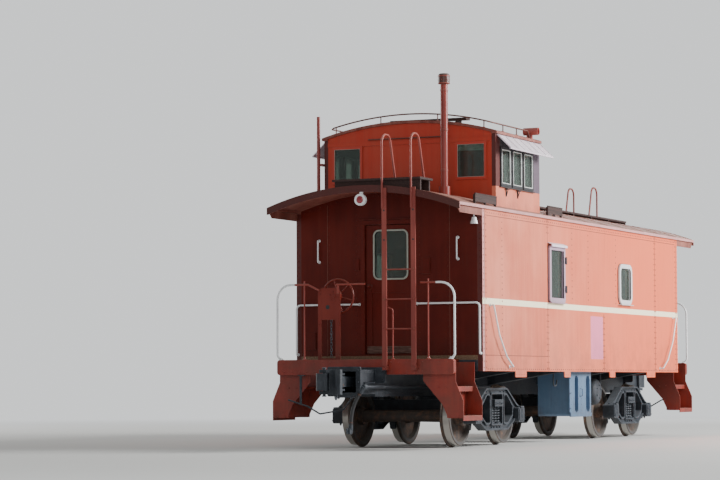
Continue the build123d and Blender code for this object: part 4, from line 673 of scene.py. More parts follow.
def seam_sealant():
    """Dark sealant in the joints of the sheets."""
    material, tree, shader = blank_material("seam sealant")
    spot = spot_on(tree)
    tone = mix(tree, noise(tree, spot, 12.0, 4.0), (0.10, 0.03, 0.02, 1), (0.26, 0.09, 0.06, 1))
    tree.links.new(tone, shader.inputs["Base Color"])
    shader.inputs["Roughness"].default_value = 0.8
    return material


def red_lens():
    """Deep red signal glass with faint rings."""
    material, tree, shader = blank_material("red lens")
    spot = spot_on(tree)
    rings = node(tree, "TexWave", {"Vector": spot, "Scale": 12.0, "Distortion": 0.4}, wave_type="RINGS")
    tone = mix(tree, rings.outputs["Fac"], (0.16, 0.006, 0.012, 1), (0.36, 0.02, 0.03, 1))
    tree.links.new(tone, shader.inputs["Base Color"])
    shader.inputs["Roughness"].default_value = 0.12
    shader.inputs["Coat Weight"].default_value = 0.6
    return material


def black_rubber():
    """Window rubber, hinges and hose, matt black with dust."""
    material, tree, shader = blank_material("black rubber")
    dusty = use(tree, "Settled dust", Color=(0.018, 0.018, 0.02, 1), Amount=0.5)
    tree.links.new(dusty["Color"], shader.inputs["Base Color"])
    skin = use(tree, "Cast surface", Grain=0.6)
    tree.links.new(ramp(tree, skin["Fleck"], 0.0, 1.0, 0.5, 0.7), shader.inputs["Roughness"])
    bumped(tree, shader, skin["Height"], 0.001, 0.4)
    return material


def ring_grey():
    return painted_steel("grey green bead", (0.33, 0.36, 0.30, 1), (0.50, 0.52, 0.46, 1), fade=0.4,
                         rust=0.08, wear=0.4, low=above_rail(1.0), high=above_rail(1.2), wave=0.2)


def bare_plate():
    """Bare worn steel of kick plates and clamps."""
    material, tree, shader = blank_material("bare plate")
    spot = spot_on(tree)
    scratch = noise(tree, spot, 1.0, 6.0, 0.7, (40.0, 6.0, 40.0))
    colour = mix(tree, ramp(tree, scratch, 0.35, 0.65), (0.075, 0.035, 0.026, 1), (0.17, 0.10, 0.08, 1))
    rusty = use(tree, "Rust bloom", Color=colour, Amount=0.3, Scale=9.0)
    tree.links.new(rusty["Color"], shader.inputs["Base Color"])
    tree.links.new(ramp(tree, scratch, 0.3, 0.7, 0.55, 0.35), shader.inputs["Roughness"])
    shader.inputs["Metallic"].default_value = 0.6
    return material


def studio_floor():
    """Pale seamless floor with the faintest mottling, that melts into the backdrop far out."""
    material, tree, shader = blank_material("studio floor")
    spot = spot_on(tree)
    x, y = parts_of(tree)[:2]
    tone = paint().floor_tone
    lighter = tuple(min(1.0, c * 1.06) for c in tone)
    reach = maths(tree, "SQRT", maths(tree, "ADD", maths(tree, "MULTIPLY", x, x),
                                      maths(tree, "MULTIPLY", y, y)))
    far = ramp(tree, reach, FLOOR_FADES[0], FLOOR_FADES[1])
    near_tone = mix(tree, noise(tree, spot, 0.3, 3.0), tone, lighter)
    tree.links.new(mix(tree, far, near_tone, (0, 0, 0, 1)), shader.inputs["Base Color"])
    shader.inputs["Roughness"].default_value = 0.85
    shader.inputs["Specular IOR Level"].default_value = 0.0
    shader.inputs["Emission Color"].default_value = BACKDROP
    tree.links.new(maths(tree, "MULTIPLY", far, BACKDROP_SEEN), shader.inputs["Emission Strength"])
    return material


FINISHES = {}
FINISH_MAKERS = {
    "faded side": faded_side, "cupola side": cupola_side, "oxide red": oxide_red, "shaded red": end_red_painted_shade,
    "cupola red": cupola_red_painted_light, "ladder red": ladder_red, "dark rail": dark_rail, "roof red": roof_red,
    "awning": awning_lilac, "sash": sash_paint, "pale sash": pale_sash, "rail white": rail_white,
    "end rail": end_rail, "box blue": box_blue, "stand red": stand_red, "rivet shade": rivet_grime_and_painted_shade,
    "lamp paint": lamp_paint, "pipe red": pipe_red,
    "running gear": running_gear, "pane": window_pane, "walk boards": walk_boards,
    "floor boards": floor_boards, "deck": deck_paint, "sealant": seam_sealant, "red lens": red_lens,
    "rubber": black_rubber, "ring grey": ring_grey, "bare plate": bare_plate, "studio floor": studio_floor,
}


def finish(name):
    if name not in FINISHES:
        FINISHES[name] = FINISH_MAKERS[name]()
    return FINISHES[name]


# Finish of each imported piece, by the start of its name
NODE_FINISHES = (
    # End walls and doors take the shaded red, darkened as painted shade
    ("side_wall_", "faded side"), ("end_wall_", "shaded red"), ("cupola_wall_right", "cupola side"),
    # Cupola ends take the cupola red, brightened as painted light
    ("cupola_wall_left", "cupola side"), ("cupola_wall_", "cupola red"), ("cupola_roof", "roof red"),
    ("roof_walks", "walk boards"), ("roof", "roof red"), ("window_frames", "sash"), ("window_glass", "pane"),
    ("door_glass_", "pane"), ("door_", "shaded red"), ("window_awnings", "awning"),
    ("cupola_rails", "dark rail"), ("smokestack", "pipe red"), ("vent_pipe", "oxide red"),
    ("end_ladders", "ladder red"), ("end_railings", "end rail"), ("handrails", "rail white"),
    ("hand_brakes", "stand red"), ("lamps", "lamp paint"), ("battery_box", "box blue"),
    ("platform_", "oxide red"), ("corner_steps", "oxide red"), ("cabin_floor", "floor boards"),
)


# Mesh forms


ONCE = (Matrix(),)
TURNED = Matrix.Rotation(math.pi, 4, "Z")
MIRRORED = Matrix.Diagonal((1, -1, 1, 1))
ENDS = (Matrix(), TURNED)
SIDES = (Matrix(), MIRRORED)
CORNERS = (Matrix(), MIRRORED, TURNED, TURNED @ MIRRORED)


class Shape:
    """Corners and faces of one piece, gathered from like forms and set down at each of its copies."""

    def __init__(self, copies=ONCE):
        self.copies = copies
        self.points = []
        self.faces = []

    def add(self, points, faces, seat=None):
        points = [seat @ Vector(p) if seat else Vector(p) for p in points]
        for copy in self.copies:
            first = len(self.points)
            self.points += [copy @ p for p in points]
            self.faces += [[first + i for i in face] for face in faces]

    def block(self, low, high):
        """A box between two corners."""
        corners = [(x, y, z) for x in (low[0], high[0]) for y in (low[1], high[1]) for z in (low[2], high[2])]
        self.add(corners, ((0, 1, 3, 2), (4, 6, 7, 5), (0, 4, 5, 1), (2, 3, 7, 6), (0, 2, 6, 4),
                           (1, 5, 7, 3)))

    def lathe(self, profile, seat, around):
        """Profile of (radius, height) points turned about the seat's own upright axis."""
        points = []
        faces = []
        for radius, height in profile:
            for i in range(around):
                angle = math.tau * i / around
                points.append((radius * math.cos(angle), radius * math.sin(angle), height))
        for row in range(len(profile) - 1):
            for i in range(around):
                j = (i + 1) % around
                faces.append((row * around + i, row * around + j, (row + 1) * around + j,
                              (row + 1) * around + i))
        faces.append(tuple(range(around))[::-1])
        faces.append(tuple(range((len(profile) - 1) * around, len(profile) * around)))
        self.add(points, faces, seat)

    def tube(self, path, radius, around, closed=False):
        """A round bar along a path of points."""
        path = [Vector(p) for p in path]
        count = len(path)
        points = []
        side = None
        for i, spot in enumerate(path):
            ahead = path[(i + 1) % count] if closed or i + 1 < count else path[i]
            behind = path[i - 1] if closed or i > 0 else path[i]
            run = (ahead - behind).normalized()
            if side is None:
                side = run.orthogonal().normalized()
            side = (side - side.dot(run) * run).normalized()
            other = run.cross(side)
            for k in range(around):
                angle = math.tau * k / around
                points.append(spot + radius * (math.cos(angle) * side + math.sin(angle) * other))
        faces = []
        for i in range(count if closed else count - 1):
            for k in range(around):
                j = (k + 1) % around
                n = (i + 1) % count
                faces.append((i * around + k, i * around + j, n * around + j, n * around + k))
        if not closed:
            faces.append(tuple(range(around))[::-1])
            faces.append(tuple(range((count - 1) * around, count * around)))
        self.add(points, faces)

    def rivet(self, spot, out, radius, height):
        """A round head on a face that looks along out."""
        self.lathe(((radius, -0.001), (radius * 0.94, height * 0.45), (radius * 0.55, height * 0.92)),
                   seated(spot, out), 7)

    def bolt(self, spot, out, radius, height):
        """A six sided head with a short thread end."""
        self.lathe(((radius, -0.001), (radius, height), (radius * 0.55, height),
                    (radius * 0.5, height * 1.7)),
                   seated(spot, out), 6)


def seated(spot, out):
    """A seat at a spot whose upright axis looks along out."""
    turn = Vector(out).to_track_quat("Z", "Y").to_matrix().to_4x4()
    return Matrix.Translation(Vector(spot)) @ turn


def piece(name, shape, finish_name, body="car", smooth=40.0):
    """Makes the mesh of a shape, gives it its finish and lets it ride on a body."""
    mesh = bpy.data.meshes.new(name)
    mesh.from_pydata([tuple(p) for p in shape.points], [], shape.faces)
    work = bmesh.new()
    work.from_mesh(mesh)
    bmesh.ops.recalc_face_normals(work, faces=work.faces)
    work.to_mesh(mesh)
    work.free()
    mesh.materials.append(finish(finish_name))
    made = bpy.data.objects.new(name, mesh)
    bpy.context.scene.collection.objects.link(made)
    for face in mesh.polygons:
        face.use_smooth = True
    mesh.set_sharp_from_angle(angle=math.radians(smooth))
    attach(made, body)
    return made


def both_ways(spot):
    """A place on the right of the near end, and its twin turned to the far end."""
    return (Vector(spot), Vector((-spot[0], -spot[1], spot[2])))


# Seams of the side sheets: place along the car, low and high edge above the rail, and rivet rows beside it
SIDE_SEAMS = (
    (0.086, 1.05, 3.30, (-0.045, 0.045)),
    (0.755, 1.30, 3.18, (0.0,)),
    (2.620, 1.05, 3.30, (-0.035, 0.035)),
    (3.700, 2.10, 3.18, (0.0,)),
    (4.440, 2.10, 3.18, (0.0,)),
    (5.165, 1.05, 1.94, (-0.035, 0.035)),
    (5.800, 2.08, 3.18, (-0.035,)),
    (7.790, 1.05, 3.30, (-0.035, 0.035)),
    (8.954, 1.05, 3.30, (-0.045, 0.045)),
)
# Rows along the side: height above the rail, start and end along the car, and whether a seam runs there
SIDE_ROWS = (
    (1.075, 0.15, 8.90, False),
    (1.265, 0.15, 2.58, True),
    (3.205, 0.15, 8.90, True),
    (3.245, 0.15, 8.90, False),
)
SIDE_WINDOW_GAPS = ((2.55, 3.40, 2.00, 3.02), (5.80, 6.58, 2.03, 2.86))


def on_window(distance, height):
    return any(a < distance < b and c < height < d for a, b, c, d in SIDE_WINDOW_GAPS)


class CABOOSE_OT_side_sheets(bpy.types.Operator):
    """Seams and rivet rows of the two side walls"""

    bl_idname = "caboose.side_sheets"
    bl_label = "Side seams and rivets"

    def execute(self, context):
        size = sizes()
        seams = Shape()
        rivets = Shape()
        half = size.seam_width / 2
        for side in (-1, 1):
            face = -side * SIDE_Y
            out = (0, side, 0)

            def head(distance, height):
                if not on_window(distance, height):
                    rivets.rivet((along(distance), face, above_rail(height)), out, size.rivet_radius,
                                 size.rivet_height)

            for distance, low, high, rows in SIDE_SEAMS:
                if len(rows) > 1:
                    seams.block((along(distance) - half, face, above_rail(low)),
                                (along(distance) + half, face + side * size.seam_lift, above_rail(high)))
                count = int((high - low) / size.rivet_pitch)
                for row in rows:
                    for i in range(count):
                        head(distance + row, low + (i + 0.5) * (high - low) / count)
            for height, start, end, sealed in SIDE_ROWS:
                if sealed:
                    seams.block((along(start - 0.06), face, above_rail(height) - half),
                                (along(end), face + side * size.seam_lift, above_rail(height) + half))
                    continue
                count = int((end - start) / size.rivet_pitch)
                for i in range(count):
                    head(start + (i + 0.5) * (end - start) / count, height)
        piece("side_seams", seams, "sealant")
        piece("side_rivets", rivets, "rivet shade")
        return {"FINISHED"}


class CABOOSE_OT_springs(bpy.types.Operator):
    """Coil springs in the side frames of both trucks"""

    bl_idname = "caboose.springs"
    bl_label = "Coil springs"

    def execute(self, context):
        size = sizes()
        steps = 14
        for end in ("near", "far"):
            low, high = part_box("springs_" + end)
            middle = (low.x + high.x) / 2
            radius = SPRING_RADIUS - size.coil_wire
            coils = Shape()
            for y in (low.y + SPRING_RADIUS, high.y - SPRING_RADIUS):
                for x in (low.x + SPRING_RADIUS, middle, high.x - SPRING_RADIUS):
                    total = size.coil_turns * steps
                    rise = (high.z - low.z - 2 * size.coil_wire) / total
                    path = []
                    for i in range(total + 1):
                        angle = math.tau * i / steps
                        path.append((x + radius * math.cos(angle), y + radius * math.sin(angle),
                                     low.z + size.coil_wire + i * rise))
                    coils.tube(path, size.coil_wire, 8)
            made = piece("coil_springs_" + end, coils, "running gear", "truck_" + end, 60.0)
            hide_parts("springs_" + end)
        return {"FINISHED"}


class CABOOSE_OT_lamps(bpy.types.Operator):
    """Red lens and white ring of the marker lamp at each roof end"""

    bl_idname = "caboose.lamps"
    bl_label = "Marker lamps"

    def execute(self, context):
        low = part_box("lamps")[0]
        lenses = Shape()
        rings = Shape()
        for spot in both_ways((low.x, MARKER_Y, MARKER_Z)):
            out = (math.copysign(1, spot.x), 0, 0)
            seat = seated(spot - Vector(out) * 0.006, out)
            lenses.lathe(((0.058, -0.004), (0.056, 0.004), (0.040, 0.012), (0.015, 0.016)), seat, 24)
            rings.lathe(((0.080, -0.004), (0.082, 0.006), (0.074, 0.010), (0.060, 0.006), (0.058, -0.003)),
                        seat, 28)
        piece("marker_rings", rings, "rail white")
        piece("marker_lenses", lenses, "red lens")
        return {"FINISHED"}


class CABOOSE_OT_paint(bpy.types.Operator):
    """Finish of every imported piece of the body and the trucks"""

    bl_idname = "caboose.paint"
    bl_label = "Paint and finishes"

    def execute(self, context):
        for name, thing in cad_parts.items():
            if name.startswith("wheelset_"):
                low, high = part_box(name)
                material = wheel_steel((low.x + high.x) / 2)
            else:
                found = [label for start, label in NODE_FINISHES if name.startswith(start)]
                material = finish(found[0] if found else "running gear")
            thing.data.materials.clear()
            thing.data.materials.append(material)
        return {"FINISHED"}


# Sizes of the main roof and the cupola roof, to set fittings on their curves
ROOF_CROWN = above_rail(3.600)
ROOF_HALF = 1.450
CUPOLA_CROWN = above_rail(4.636)
CUPOLA_ROOF_HALF = 1.360


def arch_radius(half, rise):
    return (half * half + rise * rise) / (2 * rise)


ROOF_RADIUS = arch_radius(ROOF_HALF, 0.270)
CUPOLA_RADIUS = arch_radius(CUPOLA_ROOF_HALF, 0.200)


def on_arch(x, y, crown, radius, lift=0.0):
    """A place on an arched roof and the direction that it faces."""
    out = Vector((0, y, math.sqrt(radius * radius - y * y))) / radius
    return Vector((x, y, crown - radius + math.sqrt(radius * radius - y * y))) + out * lift, out


def row_of(shape, first, last, pitch, out, radius, height):
    """Rivets at even steps from one place to another."""
    first, last = Vector(first), Vector(last)
    steps = max(1, round((last - first).length / pitch))
    for i in range(steps + 1):
        shape.rivet(first.lerp(last, i / steps), out, radius, height)


def rounded(start, end, low, high, corner, steps=5):
    """Corners of a rounded rectangle, as pairs."""
    points = []
    for cu, cv, first in ((end - corner, high - corner, 0), (start + corner, high - corner, 1),
                          (start + corner, low + corner, 2), (end - corner, low + corner, 3)):
        for i in range(steps + 1):
            angle = math.pi / 2 * (first + i / steps)
            points.append((cu + corner * math.cos(angle), cv + corner * math.sin(angle)))
    return points


def end_outline(x, outline):
    """An outline set on a face that looks along the car."""
    return [(x, u, v) for u, v in outline]


def side_outline(y, outline):
    """An outline set on a face that looks across the car."""
    return [(u, y, v) for u, v in outline]


def flange(shape, spot, out, radius):
    """A round foot of a rail, with two bolts."""
    seat = seated(spot, out)
    shape.lathe(((radius, -0.001), (radius, 0.005), (radius * 0.62, 0.009), (radius * 0.55, 0.013)), seat, 16)
    for way in (-1, 1):
        shape.bolt(seat @ Vector((0, way * radius * 0.78, 0.004)), out, 0.006, 0.005)


class CABOOSE_OT_end_walls(bpy.types.Operator):
    """Seams, rivets and door frames of both end walls"""

    bl_idname = "caboose.end_walls"
    bl_label = "End wall seams and rivets"

    def execute(self, context):
        size = sizes()
        out = (-1, 0, 0)
        rivets = Shape(CORNERS)
        seams = Shape(CORNERS)
        radius, tall = size.rivet_radius * 0.85, size.rivet_height
        for y, top in ((1.385, 3.22), (0.905, 3.34), (0.480, 3.42)):
            row_of(rivets, (END_X, -y, above_rail(1.33)), (END_X, -y, above_rail(top)), size.rivet_pitch, out,
                   radius, tall)
        seams.block((END_X - size.seam_lift, -0.936, above_rail(1.27)),
                    (END_X, -0.930, above_rail(3.40)))
        row_of(rivets, (END_X, -0.43, above_rail(1.295)), (END_X, -1.33, above_rail(1.295)),
               size.rivet_pitch, out, radius, tall)
        for i in range(16):
            y = -0.06 - i * 0.084
            spot = on_arch(END_X, y, ROOF_CROWN, ROOF_RADIUS, -0.085)[0]
            rivets.rivet(spot, out, radius, tall)
        edge = 0.356
        low, high = above_rail(1.285), above_rail(3.118)
        trim = Shape(CORNERS)
        trim.block((END_X - 0.010, -edge - 0.052, low), (END_X, -edge, high + 0.052))
        trim.block((END_X - 0.010, -edge, high), (END_X, 0, high + 0.052))
        trim.block((END_X - 0.022, -edge - 0.070, high + 0.060), (END_X, 0, high + 0.072))
        row_of(trim, (END_X - 0.010, -edge - 0.026, low + 0.05), (END_X - 0.010, -edge - 0.026, high), 0.18,
               out, 0.007, 0.004)
        # End rivets and door frames take the end red, darkened as painted shade
        piece("end_rivets", rivets, "shaded red")
        piece("end_seams", seams, "sealant")
        piece("door_frames", trim, "shaded red")
        return {"FINISHED"}


class CABOOSE_OT_doors(bpy.types.Operator):
    """Window rings, gaskets, kick plates, bolts and knob roses of both doors"""

    bl_idname = "caboose.doors"
    bl_label = "Door trim"

    def execute(self, context):
        outer = END_X + 0.030
        inner = END_X + 0.075
        low, high = above_rail(2.350), above_rail(3.020)
        for end, turn in (("near", Matrix()), ("far", TURNED)):
            rings = Shape((turn,))
            for x in (outer - 0.004, inner + 0.004):
                outline = rounded(-0.287, 0.227, low - 0.007, high + 0.007, 0.077, 7)
                rings.tube(end_outline(x, outline), 0.013, 8, True)
            piece("door_ring_" + end, rings, "ring grey", "door_" + end)

            gasket = Shape((turn,))
            outline = rounded(-0.278, 0.218, low + 0.004, high - 0.004, 0.068, 7)
            gasket.tube(end_outline(outer + 0.016, outline), 0.006, 6, True)
            piece("door_gasket_" + end, gasket, "rubber", "door_" + end)

            trim = Shape((turn,))
            kick = (above_rail(1.300), above_rail(1.400))
            trim.block((outer - 0.003, -0.335, kick[0]), (outer, 0.335, kick[1]))
            piece("door_kick_" + end, trim, "bare plate", "door_" + end)

            heads = Shape((turn,))
            for z in (kick[0] + 0.014, kick[1] - 0.014):
                row_of(heads, (outer - 0.003, -0.32, z), (outer - 0.003, 0.32, z), 0.16, (-1, 0, 0),
                       0.006, 0.003)
            for y in (-0.325, 0.325):
                row_of(heads, (outer, y, above_rail(1.45)), (outer, y, above_rail(3.07)), 0.27, (-1, 0, 0),
                       0.006, 0.003)
            rose_z = above_rail(2.242)
            seat = seated((outer, 0.286, rose_z), (-1, 0, 0))
            heads.lathe(((0.036, -0.001), (0.036, 0.004), (0.022, 0.010), (0.014, 0.012)), seat, 20)
            heads.block((outer - 0.004, 0.268, rose_z - 0.125), (outer, 0.304, rose_z - 0.050))
            for z in (above_rail(1.600), above_rail(2.200), above_rail(2.850)):
                for y in (-0.318, -0.298):
                    for up in (0.012, 0.048):
                        heads.bolt((inner + 0.006, y, z + up), (1, 0, 0), 0.005, 0.003)
            # Door heads take the end red, darkened as painted shade
            piece("door_heads_" + end, heads, "shaded red", "door_" + end)
        return {"FINISHED"}


def roof_strip(shape, x, y_start, y_end, crown, radius, half, lift):
    """A flat strip over a roof from one side of it to the other."""
    steps = 14
    points = []
    for i in range(steps + 1):
        y = y_start + (y_end - y_start) * i / steps
        for dx in (-half, half):
            for up in (-0.001, lift):
                points.append(on_arch(x + dx, y, crown, radius, up)[0])
    faces = []
    for i in range(steps):
        a, b = 4 * i, 4 * (i + 1)
        faces += [(a, a + 1, b + 1, b), (a + 2, b + 2, b + 3, a + 3), (a + 1, a + 3, b + 3, b + 1),
                  (a, b, b + 2, a + 2)]
    faces += [(0, 2, 3, 1), (4 * steps, 4 * steps + 1, 4 * steps + 3, 4 * steps + 2)]
    shape.add(points, faces)


class CABOOSE_OT_roof_seams(bpy.types.Operator):
    """Standing seams and rivets of the main roof and rivets of its fascias and edges"""

    bl_idname = "caboose.roof_seams"
    bl_label = "Roof seams"

    def execute(self, context):
        size = sizes()
        seams = Shape(SIDES)
        rivets = Shape(SIDES)
        radius, tall = size.rivet_radius * 0.8, size.rivet_height * 0.8
        first, last = along(2.62), -ROOF_LOW.x - 0.10
        count = 8
        places = [ROOF_LOW.x + 0.05, along(-0.02)]
        places += [first + i * (last - first) / count for i in range(count + 1)]
        for x in places:
            inner = 0.30 if x > along(2.5) else 0.95
            roof_strip(seams, x, -inner, -1.445, ROOF_CROWN, ROOF_RADIUS, 0.022, 0.004)
            steps = int((1.43 - inner) / 0.09)
            for i in range(steps):
                y = -(inner + 0.04) - i * 0.09
                for dx in (-0.012, 0.012):
                    spot, out = on_arch(x + dx, y, ROOF_CROWN, ROOF_RADIUS, 0.003)
                    rivets.rivet(spot, out, radius * 0.7, tall * 0.7)
        face = -ROOF_HALF
        edge_z = above_rail(3.30)
        row_of(rivets, (ROOF_LOW.x + 0.06, face, edge_z), (-ROOF_LOW.x - 0.06, face, edge_z), 0.17,
               (0, -1, 0), radius * 0.7, tall * 0.6)
        piece("roof_seams", seams, "roof red")
        piece("roof_rivets", rivets, "roof red")

        fascia = Shape(CORNERS)
        for i in range(16):
            y = -0.05 - i * 0.088
            spot = on_arch(ROOF_LOW.x, y, ROOF_CROWN, ROOF_RADIUS, -0.050)[0]
            fascia.rivet(spot, (-1, 0, 0), radius * 0.8, tall * 0.8)
        skirt_z = above_rail(3.215)
        row_of(fascia, (ROOF_LOW.x + 0.16, SIDE_Y, skirt_z), (END_X - 0.05, SIDE_Y, skirt_z), 0.10,
               (0, -1, 0), radius * 0.8, tall * 0.8)
        piece("fascia_rivets", fascia, "roof red")
        return {"FINISHED"}


class CABOOSE_OT_cupola_seams(bpy.types.Operator):
    """Standing seams and rivets of the cupola roof"""

    bl_idname = "caboose.cupola_seams"
    bl_label = "Cupola roof seams"

    def execute(self, context):
        size = sizes()
        radius, tall = size.rivet_radius * 0.8, size.rivet_height * 0.8
        top = Shape(SIDES)
        heads = Shape(SIDES)
        cup_low, cup_high = CUPOLA_ROOF_LOW.x, CUPOLA_ROOF_HIGH.x
        for x in (cup_low + 0.025, (2 * cup_low + cup_high) / 3, (cup_low + 2 * cup_high) / 3,
                  cup_high - 0.025):
            roof_strip(top, x, 0.0, -1.355, CUPOLA_CROWN, CUPOLA_RADIUS, 0.020, 0.004)
            for i in range(14):
                spot, out = on_arch(x, -0.05 - i * 0.095, CUPOLA_CROWN, CUPOLA_RADIUS, 0.003)
                heads.rivet(spot, out, radius * 0.7, tall * 0.7)
        piece("cupola_seams", top, "roof red")
        piece("cupola_rivets", heads, "roof red")
        return {"FINISHED"}


# Glass openings of the side: start and end along the car, low and high edge above the rail, corner radius
SIDE_GLASS = (
    (2.680, 3.270, 2.110, 2.860, 0.012),
    (5.910, 6.460, 2.165, 2.715, 0.090),
)
CUPOLA_GLASS = ((0.950, 1.330), (1.400, 1.780), (1.850, 2.230))


class CABOOSE_OT_windows(bpy.types.Operator):
    """Rubbers, hinges and sills of the side windows"""

    bl_idname = "caboose.windows"
    bl_label = "Window fittings"

    def execute(self, context):
        rubber = Shape(SIDES)
        hinges = Shape(SIDES)
        sill = Shape(SIDES)
        for start, end, low, high, corner in SIDE_GLASS:
            u0, u1 = along(start), along(end)
            v0, v1 = above_rail(low), above_rail(high)
            inner = rounded(u0 + 0.016, u1 - 0.016, v0 + 0.016, v1 - 0.016, max(corner - 0.016, 0.012))
            outer = rounded(u0 - 0.047, u1 + 0.047, v0 - 0.047, v1 + 0.047, corner + 0.047)
            rubber.tube(side_outline(SIDE_Y - 0.026, inner), 0.010, 6, True)
            rubber.tube(side_outline(SIDE_Y - 0.004, outer), 0.006, 6, True)
            sill.block((u0 - 0.04, SIDE_Y - 0.062, v0 - 0.058), (u1 + 0.04, SIDE_Y - 0.001, v0 - 0.048))
            for x in (u0 - 0.02, u1 + 0.02):
                row_of(sill, (x, SIDE_Y - 0.035, v0 + 0.06), (x, SIDE_Y - 0.035, v1 - 0.06), 0.21,
                       (0, -1, 0), 0.006, 0.003)
        end, low = SIDE_GLASS[0][1:3]
        x, face = along(end) + 0.058, SIDE_Y - 0.046
        for up in (0.16, 0.59):
            z = above_rail(low + up)
            hinges.block((x - 0.038, face - 0.006, z - 0.05), (x + 0.002, face + 0.013, z + 0.05))
            hinges.tube(((x, face, z - 0.055), (x, face, z + 0.055)), 0.011, 8)
        piece("window_rubbers", rubber, "rubber")
        piece("window_hinges", hinges, "rubber")
        piece("window_sills", sill, "sash")
        return {"FINISHED"}


class CABOOSE_OT_cupola_windows(bpy.types.Operator):
    """Sashes, ledges, brackets, end beads and blind of the cupola windows"""

    bl_idname = "caboose.cupola_windows"
    bl_label = "Cupola windows"

    def execute(self, context):
        brackets = Shape(SIDES)
        sashes = Shape(SIDES)
        face = CUPOLA_LOW.y
        low, high = above_rail(3.690), above_rail(4.210)
        for start, end in CUPOLA_GLASS:
            u0, u1 = along(start), along(end)
            outline = rounded(u0 + 0.022, u1 - 0.022, low + 0.022, high - 0.022, 0.008, 2)
            sashes.tube(side_outline(face - 0.014, outline), 0.008, 6, True)
            for u in (u0 + 0.024, u1 - 0.024):
                sashes.block((u - 0.012, face - 0.018, low + 0.014), (u + 0.012, face - 0.006, high - 0.014))
        for x in (along(1.16), along(1.62)):
            brackets.tube(((x - 0.05, face - 0.004, low - 0.055), (x - 0.05, face - 0.038, low - 0.055),
                           (x + 0.05, face - 0.038, low - 0.055), (x + 0.05, face - 0.004, low - 0.055)),
                          0.007, 6)
            brackets.block((x - 0.012, face - 0.012, low - 0.16), (x + 0.012, face - 0.001, low - 0.045))
            brackets.tube(((x, face - 0.008, low - 0.15), (x, face - 0.035, low - 0.062)), 0.006, 6)
        ledge = Shape(SIDES)
        ledge.block((along(0.90), face - 0.030, low - 0.040), (along(2.28), face - 0.001, low - 0.024))
        piece("cupola_sashes", sashes, "pale sash")
        piece("cupola_brackets", brackets, "rubber")
        piece("cupola_ledges", ledge, "sash")

        beads = Shape(SIDES)
        blind = Shape()
        x = CUPOLA_LOW.x
        middle = -0.96
        v0, v1 = above_rail(3.780), above_rail(4.280)
        outline = rounded(middle - 0.203, middle + 0.203, v0 + 0.017, v1 - 0.017, 0.010, 2)
        beads.tube(end_outline(x - 0.014, outline), 0.006, 6, True)
        blind.block((x + 0.012, middle - 0.215, v1 - 0.105), (x + 0.018, middle + 0.215, v1))
        piece("cupola_beads", beads, "ring grey")
        piece("cupola_blind", blind, "pale sash")
        return {"FINISHED"}


def bent(points, radii, steps=6):
    """A path through points with its inner corners rounded."""
    points = [Vector(p) for p in points]
    path = [points[0]]
    for before, corner, after, radius in zip(points, points[1:], points[2:], radii):
        back = (before - corner).normalized()
        on = (after - corner).normalized()
        half = back.angle(on) / 2
        middle = corner + (back + on).normalized() * radius / math.sin(half)
        first = corner + back * radius / math.tan(half) - middle
        last = corner + on * radius / math.tan(half) - middle
        turn = math.pi - 2 * half
        for i in range(steps + 1):
            t = i / steps
            ray = (first * math.sin((1 - t) * turn) + last * math.sin(t * turn)) / math.sin(turn)
            path.append(middle + ray)
    return path + [points[-1]]


class CABOOSE_OT_railings(bpy.types.Operator):
    """End railings with wide round corners"""

    bl_idname = "caboose.railings"
    bl_label = "Railings"

    def execute(self, context):
        rails = Shape(ENDS)
        x, deck, top, corner = RAILING_X, DECK_Z, RAILING_TOP, RAILING_CORNER_Y
        for side, start, post in ((-1, 0.830, 0.945), (1, 0.850, 0.913)):
            rails.tube(bent(((x, side * start, top), (x, side * corner, top), (x, side * corner, deck + 0.06),
                             (x, side * (corner - 0.045), deck)), (0.20, 0.055)), 0.015, 12)
            rails.tube(((x, side * post, deck), (x, side * post, top + 0.05)), 0.011, 10)
        rails.tube(((x, 0.860, top), (x, 0.685, top - 0.085)), 0.013, 10)
        rails.tube(((x, 0.425, top - 0.005), (x, -0.007, top - 0.005)), 0.013, 10)
        rails.block((x + 0.007, 0.390, top - 0.13), (x + 0.0153, 0.425, top + 0.008))
        rails.tube(bent(((x, -0.420, deck), (x, -0.420, deck + 0.680), (x, -0.350, deck + 0.705)),
                        (0.030,)), 0.010, 10)
        made = piece("rounded_railings", rails, "end rail", smooth=60.0)
        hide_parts("end_railings")
        return {"FINISHED"}


